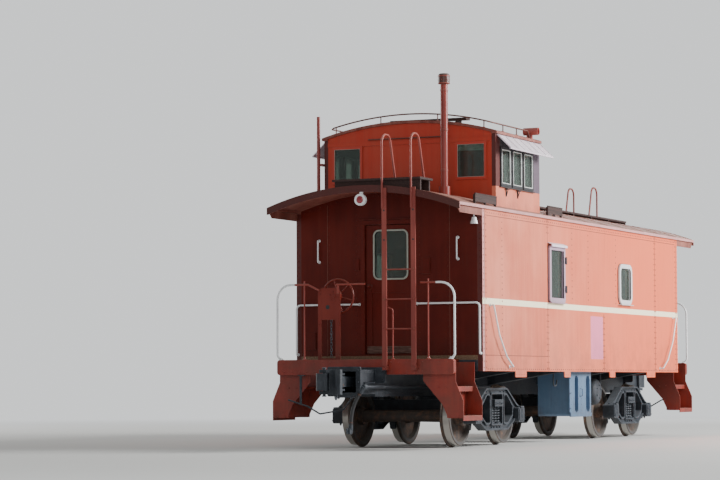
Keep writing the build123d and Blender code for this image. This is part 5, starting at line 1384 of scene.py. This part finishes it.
class CABOOSE_OT_cupola_rail(bpy.types.Operator):
    """Arched pipe rail around the cupola roof and the grab bar over its end windows"""

    bl_idname = "caboose.cupola_rail"
    bl_label = "Cupola rail"

    def execute(self, context):
        hoop = Shape()
        front = CUPOLA_LOW.x + HOOP_INSET
        back = along(2.300)
        arch = []
        for i in range(25):
            y = (HOOP_EDGE - 0.05) * (i / 12 - 1)
            arch.append(on_arch(front, y, CUPOLA_CROWN, CUPOLA_RADIUS)[0] + Vector((0, 0, HOOP_LIFT)))
        edge_z = on_arch(front, HOOP_EDGE, CUPOLA_CROWN, CUPOLA_RADIUS)[0].z
        left = ((front + 0.05, -HOOP_EDGE, edge_z + HOOP_LIFT), (back, -HOOP_EDGE, edge_z + HOOP_LIFT),
                (back + HOOP_LIFT, -HOOP_EDGE, edge_z + 0.002))
        right = tuple((p[0], -p[1], p[2]) for p in left)
        hoop.tube(bent(left, (0.05,))[::-1] + arch + bent(right, (0.05,)), 0.011, 8)
        posts = [(front, side * y) for side in (-1, 1) for y in (0.442, 1.150)]
        posts += [(along(x), side * HOOP_EDGE) for side in (-1, 1) for x in (1.300, 1.850)]
        for px, py in posts:
            foot = on_arch(px, py, CUPOLA_CROWN, CUPOLA_RADIUS)[0]
            hoop.tube((foot, foot + Vector((0, 0, HOOP_LIFT))), 0.009, 8)
        grab_x, grab_z = CUPOLA_LOW.x - 0.035, above_rail(CUPOLA_GRAB)
        hoop.tube(((grab_x, -0.620, grab_z), (grab_x, 0.620, grab_z)), 0.009, 8)
        for y in (-0.600, 0.0, 0.600):
            hoop.tube(((grab_x, y, grab_z), (CUPOLA_LOW.x, y, grab_z)), 0.007, 8)
        made = piece("cupola_hoop", hoop, "dark rail", smooth=60.0)
        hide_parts("cupola_rails")
        return {"FINISHED"}


class CABOOSE_OT_ladder_feet(bpy.types.Operator):
    """Brackets that hold the feet of the end ladders"""

    bl_idname = "caboose.ladder_feet"
    bl_label = "Ladder feet"

    def execute(self, context):
        feet = Shape(ENDS)
        foot = 1.085
        for start, end in ((-0.805, -0.735), (-0.375, -0.345)):
            feet.block((ROOF_LOW.x, start, foot), (BEAM_X, end, foot + 0.060))
        piece("ladder_feet", feet, "ladder red")
        return {"FINISHED"}


class CABOOSE_OT_rail_feet(bpy.types.Operator):
    """Flanges under the handrails, railings, loops and roof rails"""

    bl_idname = "caboose.rail_feet"
    bl_label = "Rail flanges"

    def execute(self, context):
        white = Shape(CORNERS)
        wall_z = above_rail(1.990)
        for y, z in ((-0.440, wall_z), (-1.395, above_rail(1.290)), (-1.060, above_rail(2.600)),
                     (-1.060, above_rail(2.900))):
            flange(white, (END_X, y, z), (-1, 0, 0), 0.021)
        for x, z in ((0.270, 1.960), (1.020, 1.110)):
            flange(white, (along(x), SIDE_Y, above_rail(z)), (0, -1, 0), 0.024)
        piece("handrail_flanges", white, "rail white")

        feet = Shape(ENDS)
        for y in (-1.272, -0.945, 0.913, 1.272):
            feet.lathe(((0.034, -0.001), (0.034, 0.006), (0.020, 0.014), (0.017, 0.030)),
                       seated((RAILING_X, y, DECK_Z), (0, 0, 1)), 14)
        feet.lathe(((0.026, -0.001), (0.026, 0.005), (0.014, 0.012)),
                   seated((RAILING_X, -0.420, DECK_Z), (0, 0, 1)), 12)
        piece("railing_feet", feet, "end rail")

        loops = Shape(ENDS)
        board = above_rail(3.690)
        for y in (-0.315, -0.745):
            loops.lathe(((0.048, -0.001), (0.048, 0.007), (0.024, 0.014), (0.018, 0.022)),
                        seated((along(-0.460), y, board), (0, 0, 1)), 16)
            for way in (-1, 1):
                loops.bolt((along(-0.460) + way * 0.036, y, board + 0.005), (0, 0, 1), 0.008, 0.006)
        piece("loop_feet", loops, "ladder red")

        posts = Shape(SIDES)
        for px, py in ((along(0.786), -0.442), (along(0.786), -1.150), (along(1.300), -1.240),
                       (along(1.850), -1.240)):
            spot, out = on_arch(px, py, CUPOLA_CROWN, CUPOLA_RADIUS)
            posts.lathe(((0.028, -0.001), (0.028, 0.004), (0.014, 0.010)), seated(spot, out), 12)
        piece("roof_rail_feet", posts, "ladder red")
        return {"FINISHED"}


class CABOOSE_OT_ladders(bpy.types.Operator):
    """Bolts of the rungs that remain and the empty holes of the two that are gone"""

    bl_idname = "caboose.ladders"
    bl_label = "Ladder bolts"

    def execute(self, context):
        bolts = Shape(ENDS)
        holes = Shape(ENDS)
        face = ROOF_LOW.x - LADDER_THICK
        for y in LADDER_RAILS:
            for i in range(RUNGS_ONCE):
                z = above_rail(RUNG_FIRST + RUNG_PITCH * i)
                if i < RUNGS_LEFT:
                    bolts.lathe(((0.019, -0.001), (0.019, 0.003)), seated((face, y, z), (-1, 0, 0)), 14)
                    bolts.bolt((face - 0.003, y, z), (-1, 0, 0), 0.013, 0.009)
                else:
                    holes.lathe(((0.013, -0.001), (0.013, 0.0012)), seated((face, y, z), (-1, 0, 0)), 14)
                    bolts.lathe(((0.021, -0.001), (0.021, 0.0008)), seated((face, y, z), (-1, 0, 0)), 14)
            for z in (1.095, 3.300, 3.420):
                bolts.bolt((face, y - 0.018, above_rail(z)), (-1, 0, 0), 0.011, 0.008)
                bolts.bolt((face, y + 0.018, above_rail(z) + 0.02), (-1, 0, 0), 0.011, 0.008)
        piece("ladder_bolts", bolts, "ladder red")
        piece("ladder_holes", holes, "rubber")
        return {"FINISHED"}


class CABOOSE_OT_brake_stand(bpy.types.Operator):
    """Chain, bolts and round hole of the brake stands"""

    bl_idname = "caboose.brake_stand"
    bl_label = "Brake stand fittings"

    def execute(self, context):
        chain = Shape(ENDS)
        x = BEAM_X + 0.0867
        top, pitch = above_rail(2.000), 0.040
        count = int((top - DECK_Z - 0.005) / pitch)
        for i in range(count):
            z = top - (i + 0.5) * pitch
            flat = i % 2 == 0
            path = []
            for k in range(12):
                angle = math.tau * k / 12
                across = 0.013 * math.cos(angle)
                path.append((x + (0 if flat else across), 0.530 + (across if flat else 0),
                             z + 0.0265 * math.sin(angle)))
            chain.tube(path, 0.0042, 5, True)
        piece("brake_chain", chain, "running gear", smooth=60)

        bolts = Shape(ENDS)
        for z in (1.26, 1.70, 2.12):
            for y in (0.400, 0.690):
                bolts.bolt((STAND_FACE, y, above_rail(z)), (-1, 0, 0), 0.012, 0.008)
        ring = 0.062
        for k in range(6):
            angle = math.tau * k / 6 + 0.3
            bolts.bolt((STAND_FACE, BRAKE_SHAFT_Y + ring * math.cos(angle),
                        BRAKE_SHAFT_Z + ring * math.sin(angle)),
                       (-1, 0, 0), 0.009, 0.006)
        bolts.lathe(((0.022, -0.002), (0.022, 0.012), (0.012, 0.016)),
                    seated((STAND_FACE, BRAKE_SHAFT_Y, BRAKE_SHAFT_Z), (-1, 0, 0)), 6)
        hub = BEAM_X + 0.1983
        bolts.lathe(((0.024, -0.001), (0.024, 0.012), (0.014, 0.016), (0.012, 0.026)),
                    seated((hub, BRAKE_SHAFT_Y, BRAKE_SHAFT_Z), (1, 0, 0)), 6)
        piece("brake_bolts", bolts, "stand red")

        shade = Shape(ENDS)
        shade.lathe(((0.030, -0.001), (0.030, 0.0015)),
                    seated((STAND_FACE, 0.567, above_rail(1.935)), (-1, 0, 0)), 18)
        piece("brake_hole", shade, "rubber")
        return {"FINISHED"}


class CABOOSE_OT_sill_rivets(bpy.types.Operator):
    """Rivets of the side tabs, the end beams, the centre sill and its bearers"""

    bl_idname = "caboose.sill_rivets"
    bl_label = "Sill rivets"

    def execute(self, context):
        size = sizes()
        radius, tall = size.rivet_radius, size.rivet_height
        tabs = Shape(SIDES)
        for x, half in ((-TRUCK_X, 0.225), (-BEARER_X, 0.135), (BEARER_X, 0.135), (TRUCK_X, 0.225)):
            row_of(tabs, (x - half + 0.03, SIDE_Y, above_rail(0.998)),
                   (x + half - 0.03, SIDE_Y, above_rail(0.998)), 0.060, (0, -1, 0), radius * 0.85, tall)
        piece("tab_rivets", tabs, "faded side")

        beam = Shape(ENDS)
        for z in (1.040, 1.170):
            for start, end in ((-1.22, -0.40), (0.40, 1.22)):
                row_of(beam, (BEAM_X, start, above_rail(z)), (BEAM_X, end, above_rail(z)), 0.117, (-1, 0, 0),
                       radius, tall)
        piece("beam_rivets", beam, "oxide red")

        sills = Shape(CORNERS)
        for z in (0.745, 1.150):
            for start, end in ((-3.70, -5.10), (-0.95, -2.70)):
                row_of(sills, (start, -SILL_HALF, above_rail(z)), (end, -SILL_HALF, above_rail(z)), 0.12,
                       (0, -1, 0), radius, tall)
        for x in (-TRUCK_X, -BEARER_X):
            for dx in (-0.09, 0.09):
                for y in (-0.40, -0.75, -1.10):
                    sills.rivet((x + dx, y, above_rail(1.10)), (math.copysign(1, dx), 0, 0), radius, tall)
        piece("sill_rivets", sills, "running gear")
        return {"FINISHED"}


class CABOOSE_OT_draft_housings(bpy.types.Operator):
    """Rivets, bolts and keeper plates of the draft housings"""

    bl_idname = "caboose.draft_housings"
    bl_label = "Draft housings"

    def execute(self, context):
        size = sizes()
        radius, tall = size.rivet_radius, size.rivet_height
        housing = Shape(ENDS)
        for z in (0.770, 1.030):
            for side in (-1, 1):
                row_of(housing, (-5.97, side * 0.200, above_rail(z)), (-5.50, side * 0.200, above_rail(z)),
                       0.094, (0, side, 0), radius, tall)
        for z in (0.74, 1.06, 0.90):
            for y in (-0.215, 0.215):
                housing.bolt((-6.030, y, above_rail(z)), (-1, 0, 0), 0.015, 0.012)
        for y in (-0.30, 0.30):
            for z in (0.93, 1.05):
                housing.bolt((-5.420, y, above_rail(z)), (-1, 0, 0), 0.017, 0.012)
        housing.block((-6.026, -0.120, above_rail(0.690)), (-5.950, 0.120, above_rail(0.7357)))
        for y in (-0.095, 0.095):
            housing.bolt((-5.985, y, above_rail(0.690)), (0, 0, -1), 0.013, 0.012)
        piece("housing_bolts", housing, "running gear")
        return {"FINISHED"}


class CABOOSE_OT_equipment_box(bpy.types.Operator):
    """Rivets, bolts and handle of the equipment box"""

    bl_idname = "caboose.equipment_box"
    bl_label = "Equipment box"

    def execute(self, context):
        box = Shape()
        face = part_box("battery_box")[0].y + 0.006
        foot, top = above_rail(0.370), above_rail(1.045)
        x0, x1 = -0.560, 0.380
        heads = 0.009
        for x in (x0 + 0.030, x0 + 0.160, x0 + 0.362, x0 + 0.500, x0 + 0.680, x1 - 0.028):
            row_of(box, (x, face, foot + 0.09), (x, face, top - 0.05), 0.093, (0, -1, 0), heads, 0.005)
        row_of(box, (x0 + 0.06, face, top - 0.025), (x1 - 0.04, face, top - 0.025), 0.080, (0, -1, 0),
               heads, 0.005)
        for z in (foot + 0.12, foot + 0.35, top - 0.10):
            box.bolt((x0 - 0.024, face, z), (0, -1, 0), 0.012, 0.009)
        piece("box_rivets", box, "box blue")
        handle = Shape()
        x = x0 + 0.430
        handle.tube(((x, face, foot + 0.30), (x, face - 0.040, foot + 0.31), (x, face - 0.040, foot + 0.41),
                     (x, face, foot + 0.42)), 0.007, 8)
        piece("box_handle", handle, "box blue")
        return {"FINISHED"}


class CABOOSE_OT_air_brakes(bpy.types.Operator):
    """Bands of the air reservoir, bolts of the brake cylinder and the brake rods"""

    bl_idname = "caboose.air_brakes"
    bl_label = "Air brakes"

    def execute(self, context):
        bands = Shape()
        tank_x, tank_z = 1.430, above_rail(0.735)
        for y in (-0.870, -0.470, -0.670):
            seat = seated((tank_x, y - 0.02, tank_z), (0, 1, 0))
            bands.lathe(((0.209, -0.001), (0.2145, 0.000), (0.2145, 0.040), (0.209, 0.041)), seat, 40)
        for angle in (0.4, 1.4, 2.6, 3.7, 4.9):
            bands.bolt((tank_x + 0.10 * math.cos(angle), -1.060, tank_z + 0.10 * math.sin(angle)),
                       (0, -1, 0), 0.012, 0.008)
        cyl_x, cyl_y, cyl_z = -1.200, 0.700, above_rail(0.800)
        ring = 0.158
        for k in range(10):
            angle = math.tau * k / 10
            bands.bolt((cyl_x + 0.012, cyl_y + ring * math.cos(angle), cyl_z + ring * math.sin(angle)),
                       (1, 0, 0), 0.012, 0.012)
        piece("tank_bands", bands, "running gear")

        rods = Shape()
        lever_x, rod_y, end_z = -0.925, 0.520, above_rail(0.78)
        rods.tube(((cyl_x + 0.012, cyl_y, cyl_z), (lever_x - 0.005, cyl_y, cyl_z)), 0.024, 10)
        rods.block((lever_x - 0.020, 0.330, cyl_z - 0.012), (lever_x + 0.020, 0.760, cyl_z + 0.012))
        rods.tube(((lever_x, 0.345, cyl_z), (lever_x, 0.345, above_rail(0.88)),
                   (lever_x, 0.345, above_rail(0.90))), 0.012, 8)
        rods.tube(((lever_x, rod_y, cyl_z), (1.300, rod_y, cyl_z), (1.640, 0.500, end_z)), 0.013, 8)
        rods.tube(((lever_x, 0.420, cyl_z), (-1.300, 0.420, cyl_z), (-1.640, 0.420, end_z)), 0.013, 8)
        for x in (1.20, 0.20):
            rods.tube(((x, rod_y - 0.016, end_z), (x, rod_y - 0.016, above_rail(0.96))), 0.006, 6)
        piece("brake_rods", rods, "running gear", smooth=60)
        return {"FINISHED"}


class CABOOSE_OT_trucks(bpy.types.Operator):
    """Bolts, lid hinges and keeper plates of both trucks"""

    bl_idname = "caboose.trucks"
    bl_label = "Truck fittings"

    def execute(self, context):
        flip = Matrix.Diagonal((-1, 1, 1, 1))
        for end, way in (("near", -1), ("far", 1)):
            seat = Matrix.Translation((way * TRUCK_X, 0, AXLE_Z))
            parts = Shape(tuple(seat @ a @ b for a in SIDES for b in (Matrix(), flip)))
            web = -1.015
            for z in (0.020, 0.110, 0.200):
                parts.bolt((0.245, web, z), (0, -1, 0), 0.016, 0.014)
            for x in (0.060, 0.160):
                parts.bolt((x, web, -0.168), (0, -1, 0), 0.015, 0.012)
            for x in (0.200, 0.340):
                parts.bolt((x, web, 0.337), (0, -1, 0), 0.013, 0.010)
            front = -1.112
            axle = 0.850
            parts.tube(((axle - 0.060, -1.108, 0.112), (axle + 0.060, -1.108, 0.112)), 0.011, 8)
            parts.block((axle - 0.012, front - 0.006, -0.045), (axle + 0.012, front, 0.085))
            parts.block((axle - 0.055, front - 0.006, 0.015), (axle + 0.055, front, 0.035))
            for dx in (-0.105, 0.105):
                parts.bolt((axle + dx, -1.102, -0.070), (0, -1, 0), 0.012, 0.010)
                parts.bolt((axle + dx * 0.62, -1.000, -0.110), (0, 0, -1), 0.016, 0.018)
                parts.bolt((axle + dx * 0.62, -1.000, 0.110), (0, 0, 1), 0.016, 0.014)
            parts.block((0.020, -1.088, 0.150), (0.130, -1.080, 0.190))
            parts.bolt((0.075, -1.088, 0.170), (0, -1, 0), 0.014, 0.010)
            parts.lathe(((0.062, -0.001), (0.062, 0.010), (0.050, 0.014)),
                        seated((SPRING_PITCH, -0.985, -0.110), (0, 0, 1)), 18)
            piece("truck_fittings_" + end, parts, "running gear", "truck_" + end)
        return {"FINISHED"}


class CABOOSE_OT_couplers(bpy.types.Operator):
    """Pin heads, lock lifters and lips of the couplers"""

    bl_idname = "caboose.couplers"
    bl_label = "Coupler fittings"

    def execute(self, context):
        z = COUPLER_Z
        pin_x, pin_y = COUPLER_FACE_X + 0.190, 0.105
        for end, turn in (("near", Matrix()), ("far", TURNED)):
            parts = Shape((turn,))
            for way in (-1, 1):
                seat = seated((pin_x, pin_y, z + way * 0.1795), (0, 0, way))
                parts.lathe(((0.034, 0), (0.034, 0.010), (0.024, 0.016)), seat, 8)
            for dy in (-0.045, 0.045):
                parts.block((COUPLER_FACE_X + 0.330, dy - 0.012, z + 0.063), (-5.70, dy + 0.012, z + 0.074))
            parts.tube(((pin_x + 0.075, -0.02, z - 0.160), (pin_x + 0.075, -0.02, z - 0.215),
                        (pin_x + 0.105, -0.02, z - 0.235), (pin_x + 0.135, -0.02, z - 0.215),
                        (pin_x + 0.135, -0.02, z - 0.160)), 0.011, 8)
            for dz in (-0.105, 0.105):
                parts.block((pin_x + 0.075, -0.128, z + dz - 0.012), (pin_x + 0.150, -0.118, z + dz + 0.012))
            piece("coupler_fittings_" + end, parts, "running gear", "coupler_" + end)
        return {"FINISHED"}


GRIP_HALF_LENGTH = 0.012
GRIP_HALF_WIDTH = 0.0035
GRIP_TILT = 0.7
GRIP_LIFT = 0.0022
GRIP_TAPER = 0.6


def grip(shape, x, y, z, turned):
    """One raised bar of a tread plate, tilted one way or the other."""
    tilt = GRIP_TILT if turned else -GRIP_TILT
    dx, dy = GRIP_HALF_LENGTH * math.cos(tilt), GRIP_HALF_LENGTH * math.sin(tilt)
    nx, ny = -GRIP_HALF_WIDTH * math.sin(tilt), GRIP_HALF_WIDTH * math.cos(tilt)
    base = [(x - dx, y - dy), (x + nx, y + ny), (x + dx, y + dy), (x - nx, y - ny)]
    foot = [(u, v, z - 0.0005) for u, v in base]
    head = [(x + (u - x) * GRIP_TAPER, y + (v - y) * GRIP_TAPER, z + GRIP_LIFT) for u, v in base]
    shape.add(foot + head, ((0, 1, 5, 4), (1, 2, 6, 5), (2, 3, 7, 6), (3, 0, 4, 7), (4, 5, 6, 7),
                            (3, 2, 1, 0)))


class CABOOSE_OT_steps(bpy.types.Operator):
    """Grips of the treads and end decks, and bolts of the corner steps"""

    bl_idname = "caboose.steps"
    bl_label = "Step fittings"

    def execute(self, context):
        grips = Shape(CORNERS)
        bolts = Shape(CORNERS)
        x0, x1 = BEAM_X + 0.092, BEAM_X + 0.768
        for inner, outer, level in ((1.010, 1.300, 0.837), (1.190, 1.430, 0.440)):
            z = above_rail(level)
            rows = int((outer - inner - 0.05) / 0.042)
            for r in range(rows):
                y = -(inner + 0.035 + r * 0.042)
                for i in range(16):
                    grip(grips, x0 + 0.03 + i * (x1 - x0 - 0.06) / 15, y, z, (r + i) % 2)
            for x, out in ((x0 - 0.012, -1), (x1 + 0.012, 1)):
                for dy in (0.05, 0.17):
                    bolts.bolt((x, -(inner + dy), z - 0.018), (out, 0, 0), 0.011, 0.008)
        for x, out in ((x0 - 0.012, -1), (x1 + 0.012, 1)):
            for dy in (0.90, 1.02):
                bolts.bolt((x, -dy, above_rail(1.12)), (out, 0, 0), 0.013, 0.009)
        piece("step_grips", grips, "deck", smooth=20)
        piece("step_bolts", bolts, "oxide red")

        deck = Shape(ENDS)
        for i in range(24):
            for k in range(52):
                x = BEAM_X + 0.10 + i * 0.0305
                y = -1.02 + k * 0.040
                if abs(y - 0.545) < 0.20 and x < BEAM_X + 0.14:
                    continue
                grip(deck, x, y, DECK_Z, (i + k) % 2)
        piece("deck_grips", deck, "deck", smooth=20)
        return {"FINISHED"}


class CABOOSE_OT_roof_pipes(bpy.types.Operator):
    """Bands and cap rivets of the smoke pipe"""

    bl_idname = "caboose.roof_pipes"
    bl_label = "Smoke pipe bands"

    def execute(self, context):
        bands = Shape()
        x, y = along(0.400), -0.700
        pipe = 0.0515
        for z in (3.86, 4.43, 4.99):
            seat = seated((x, y, above_rail(z)), (0, 0, 1))
            bands.lathe(((pipe, -0.001), (pipe + 0.005, 0.002), (pipe + 0.005, 0.026), (pipe, 0.029)), seat,
                        28)
        cap = pipe + 0.031
        for z in (5.094, 5.196):
            seat = seated((x, y, above_rail(z)), (0, 0, 1))
            bands.lathe(((cap, 0), (cap + 0.004, 0.003), (cap + 0.004, 0.013), (cap, 0.016)), seat, 28)
        for k in range(6):
            angle = math.tau * k / 6
            bands.rivet((x + cap * math.cos(angle), y + cap * math.sin(angle), above_rail(5.15)),
                        (math.cos(angle), math.sin(angle), 0), 0.007, 0.004)
        piece("smoke_pipe_bands", bands, "ladder red")
        return {"FINISHED"}


# Route of the air hose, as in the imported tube, in metres
HOSE_ROUTE = (
    (-6.130, -0.290, 0.785),
    (-6.142, -0.232, 0.690),
    (-6.150, -0.192, 0.585),
    (-6.155, -0.168, 0.472),
    (-6.156, -0.160, 0.355),
)
HOSE_DIAMETER = 0.048
CLAMP_INSET = 0.030


class CABOOSE_OT_air_hose(bpy.types.Operator):
    """Rubber air hose of the near end with its clamps"""

    bl_idname = "caboose.air_hose"
    bl_label = "Air hose"

    def execute(self, context):
        curve = bpy.data.curves.new("air_hose", "CURVE")
        curve.dimensions = "3D"
        spline = curve.splines.new("NURBS")
        spline.points.add(len(HOSE_ROUTE) - 1)
        for point, spot in zip(spline.points, HOSE_ROUTE):
            point.co = (*spot, 1.0)
        spline.order_u = 3
        spline.use_endpoint_u = True
        curve.resolution_u = 16
        curve.bevel_depth = HOSE_DIAMETER / 2
        curve.bevel_resolution = 5
        curve.use_fill_caps = True
        curve.materials.append(finish("rubber"))
        hose = bpy.data.objects.new("air_hose", curve)
        bpy.context.scene.collection.objects.link(hose)
        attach(hose, "car")
        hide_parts("air_hose_near")

        clamps = Shape()
        for spot, ahead in ((HOSE_ROUTE[0], HOSE_ROUTE[1]), (HOSE_ROUTE[-1], HOSE_ROUTE[-2])):
            run = (Vector(ahead) - Vector(spot)).normalized()
            seat = seated(Vector(spot) + run * CLAMP_INSET, run)
            clamps.lathe(((0.0255, -0.008), (0.0268, -0.007), (0.0268, 0.007), (0.0255, 0.008)), seat, 20)
            ear = seat @ Vector((0.032, 0, 0))
            clamps.bolt(ear, run, 0.008, 0.010)
        piece("hose_clamps", clamps, "bare plate")
        return {"FINISHED"}


class CABOOSE_OT_awnings(bpy.types.Operator):
    """Ribs, hems and rivets of the awnings"""

    bl_idname = "caboose.awnings"
    bl_label = "Awning ribs"

    def execute(self, context):
        ribs = Shape(SIDES)
        top = above_rail(4.436) - 0.037
        outer_y, inner_y = -1.547, -1.332
        outer_z = top - 0.205
        x0 = along(0.811)
        x1 = x0 + 1.782 - 0.0225
        slope = Vector((0, outer_y - inner_y, outer_z - top))
        out = Vector((0, -slope.z, slope.y)).normalized() * -1
        for i in range(7):
            x = x0 + 0.02 + i * (x1 - x0 - 0.04) / 6
            a, b = Vector((x, inner_y, top)), Vector((x, outer_y + 0.010, outer_z + 0.009))
            ribs.tube((a + out * 0.002, b + out * 0.002), 0.006, 6)
        ribs.tube(((x0, outer_y + 0.012, outer_z - 0.006), (x1, outer_y + 0.012, outer_z - 0.006)), 0.011, 8)
        row_of(ribs, (x0 + 0.05, inner_y - 0.012, top - 0.012), (x1 - 0.05, inner_y - 0.012, top - 0.012),
               0.14, tuple(out), 0.007, 0.004)
        piece("awning_ribs", ribs, "awning")
        return {"FINISHED"}


# Camera as solved from the photograph, in the car's frame
CAMERA_PLACE = (-37.763, -14.456, 0.905)
CAMERA_HEADING = math.radians(24.12)
CAMERA_RISE = math.radians(3.174)
CAMERA_ROLL = math.radians(-0.24)
CAMERA_LENS = 129.4
FILM_WIDTH = 36.0
# Soft boxes: name, place, aimed at, width, height and power in watts
SOFT_BOXES = (
    ("key", (6.0, -24.0, 12.0), (0.0, -1.0, 2.5), 14.0, 9.0, 14500.0),
    ("front_fill", (-26.0, -8.0, 9.0), (-4.0, 0.0, 2.5), 10.0, 8.0, 800.0),
    ("back_fill", (4.0, 24.0, 10.0), (0.0, 1.0, 2.5), 14.0, 8.0, 2200.0),
    ("far_fill", (26.0, 3.0, 8.0), (4.0, 0.0, 2.5), 10.0, 8.0, 1200.0),
)
FLOOR_HALF = 120.0
FLOOR_FADES = (11.0, 30.0)
BACKDROP = (0.86, 0.88, 0.89, 1)
BACKDROP_SEEN = 1.15


class CABOOSE_OT_stage(bpy.types.Operator):
    """Camera, pale floor and soft studio light"""

    bl_idname = "caboose.stage"
    bl_label = "Stage"

    def execute(self, context):
        scene = bpy.context.scene
        camera_data = bpy.data.cameras.new("camera")
        camera_data.lens = CAMERA_LENS
        camera_data.sensor_width = FILM_WIDTH
        camera_data.clip_end = 1000.0
        camera = bpy.data.objects.new("camera", camera_data)
        scene.collection.objects.link(camera)
        forward = Vector((math.cos(CAMERA_HEADING) * math.cos(CAMERA_RISE),
                          math.sin(CAMERA_HEADING) * math.cos(CAMERA_RISE), math.sin(CAMERA_RISE)))
        turn = forward.to_track_quat("-Z", "Y").to_matrix() @ Matrix.Rotation(CAMERA_ROLL, 3, "Z")
        camera.matrix_world = Matrix.Translation(CAMERA_PLACE) @ turn.to_4x4()
        scene.camera = camera

        for name, spot, target, width, tall, power in SOFT_BOXES:
            lamp = bpy.data.lights.new(name, "AREA")
            lamp.shape = "RECTANGLE"
            lamp.size = width
            lamp.size_y = tall
            lamp.energy = power
            box = bpy.data.objects.new(name, lamp)
            scene.collection.objects.link(box)
            aim = Vector(target) - Vector(spot)
            box.visible_camera = False
            box.matrix_world = Matrix.Translation(spot) @ aim.to_track_quat("-Z", "Y").to_matrix().to_4x4()

        world = bpy.data.worlds.new("studio")
        world.use_nodes = True
        backdrop = world.node_tree.nodes["Background"]
        backdrop.inputs["Color"].default_value = BACKDROP
        seen = node(world.node_tree, "LightPath").outputs["Is Camera Ray"]
        world.node_tree.links.new(ramp(world.node_tree, seen, 0.0, 1.0, 0.45, BACKDROP_SEEN),
                                  backdrop.inputs["Strength"])
        scene.world = world

        mesh = bpy.data.meshes.new("studio_floor")
        corners = ((-1, -1), (1, -1), (1, 1), (-1, 1))
        mesh.from_pydata([(FLOOR_HALF * x, FLOOR_HALF * y, 0) for x, y in corners], [], ((0, 1, 2, 3),))
        mesh.materials.append(finish("studio floor"))
        floor = bpy.data.objects.new("studio_floor", mesh)
        scene.collection.objects.link(floor)
        return {"FINISHED"}


class CABOOSE_PT_panel(bpy.types.Panel):
    """Lists the caboose's sizes, colours and operators"""

    bl_idname = "CABOOSE_PT_panel"
    bl_label = "Caboose"
    bl_space_type = "VIEW_3D"
    bl_region_type = "UI"
    bl_category = "Caboose"

    def draw(self, context):
        column = self.layout.column()
        for group in (context.scene.caboose_sizes, context.scene.caboose_paint):
            for name in group.__annotations__:
                column.prop(group, name)
        for operator in OPERATORS:
            column.operator(operator.bl_idname)


OPERATORS = (
    CABOOSE_OT_stage, CABOOSE_OT_paint, CABOOSE_OT_side_sheets, CABOOSE_OT_end_walls, CABOOSE_OT_doors,
    CABOOSE_OT_roof_seams, CABOOSE_OT_cupola_seams, CABOOSE_OT_windows, CABOOSE_OT_cupola_windows,
    CABOOSE_OT_awnings, CABOOSE_OT_railings, CABOOSE_OT_cupola_rail, CABOOSE_OT_ladder_feet,
    CABOOSE_OT_rail_feet, CABOOSE_OT_ladders, CABOOSE_OT_brake_stand, CABOOSE_OT_steps,
    CABOOSE_OT_roof_pipes, CABOOSE_OT_lamps, CABOOSE_OT_sill_rivets, CABOOSE_OT_draft_housings,
    CABOOSE_OT_equipment_box, CABOOSE_OT_air_brakes, CABOOSE_OT_air_hose, CABOOSE_OT_couplers,
    CABOOSE_OT_trucks, CABOOSE_OT_springs,
)
CLASSES = (CabooseSizes, CaboosePaint) + OPERATORS + (CABOOSE_PT_panel,)


def register():
    for item in CLASSES:
        bpy.utils.register_class(item)
    bpy.types.Scene.caboose_sizes = PointerProperty(type=CabooseSizes)
    bpy.types.Scene.caboose_paint = PointerProperty(type=CaboosePaint)


def unregister():
    del bpy.types.Scene.caboose_paint
    del bpy.types.Scene.caboose_sizes
    for item in reversed(CLASSES):
        bpy.utils.unregister_class(item)


def main():
    register()
    for operator in OPERATORS:
        group, name = operator.bl_idname.split(".")
        getattr(getattr(bpy.ops, group), name)()


if __name__ == "__main__":
    main()
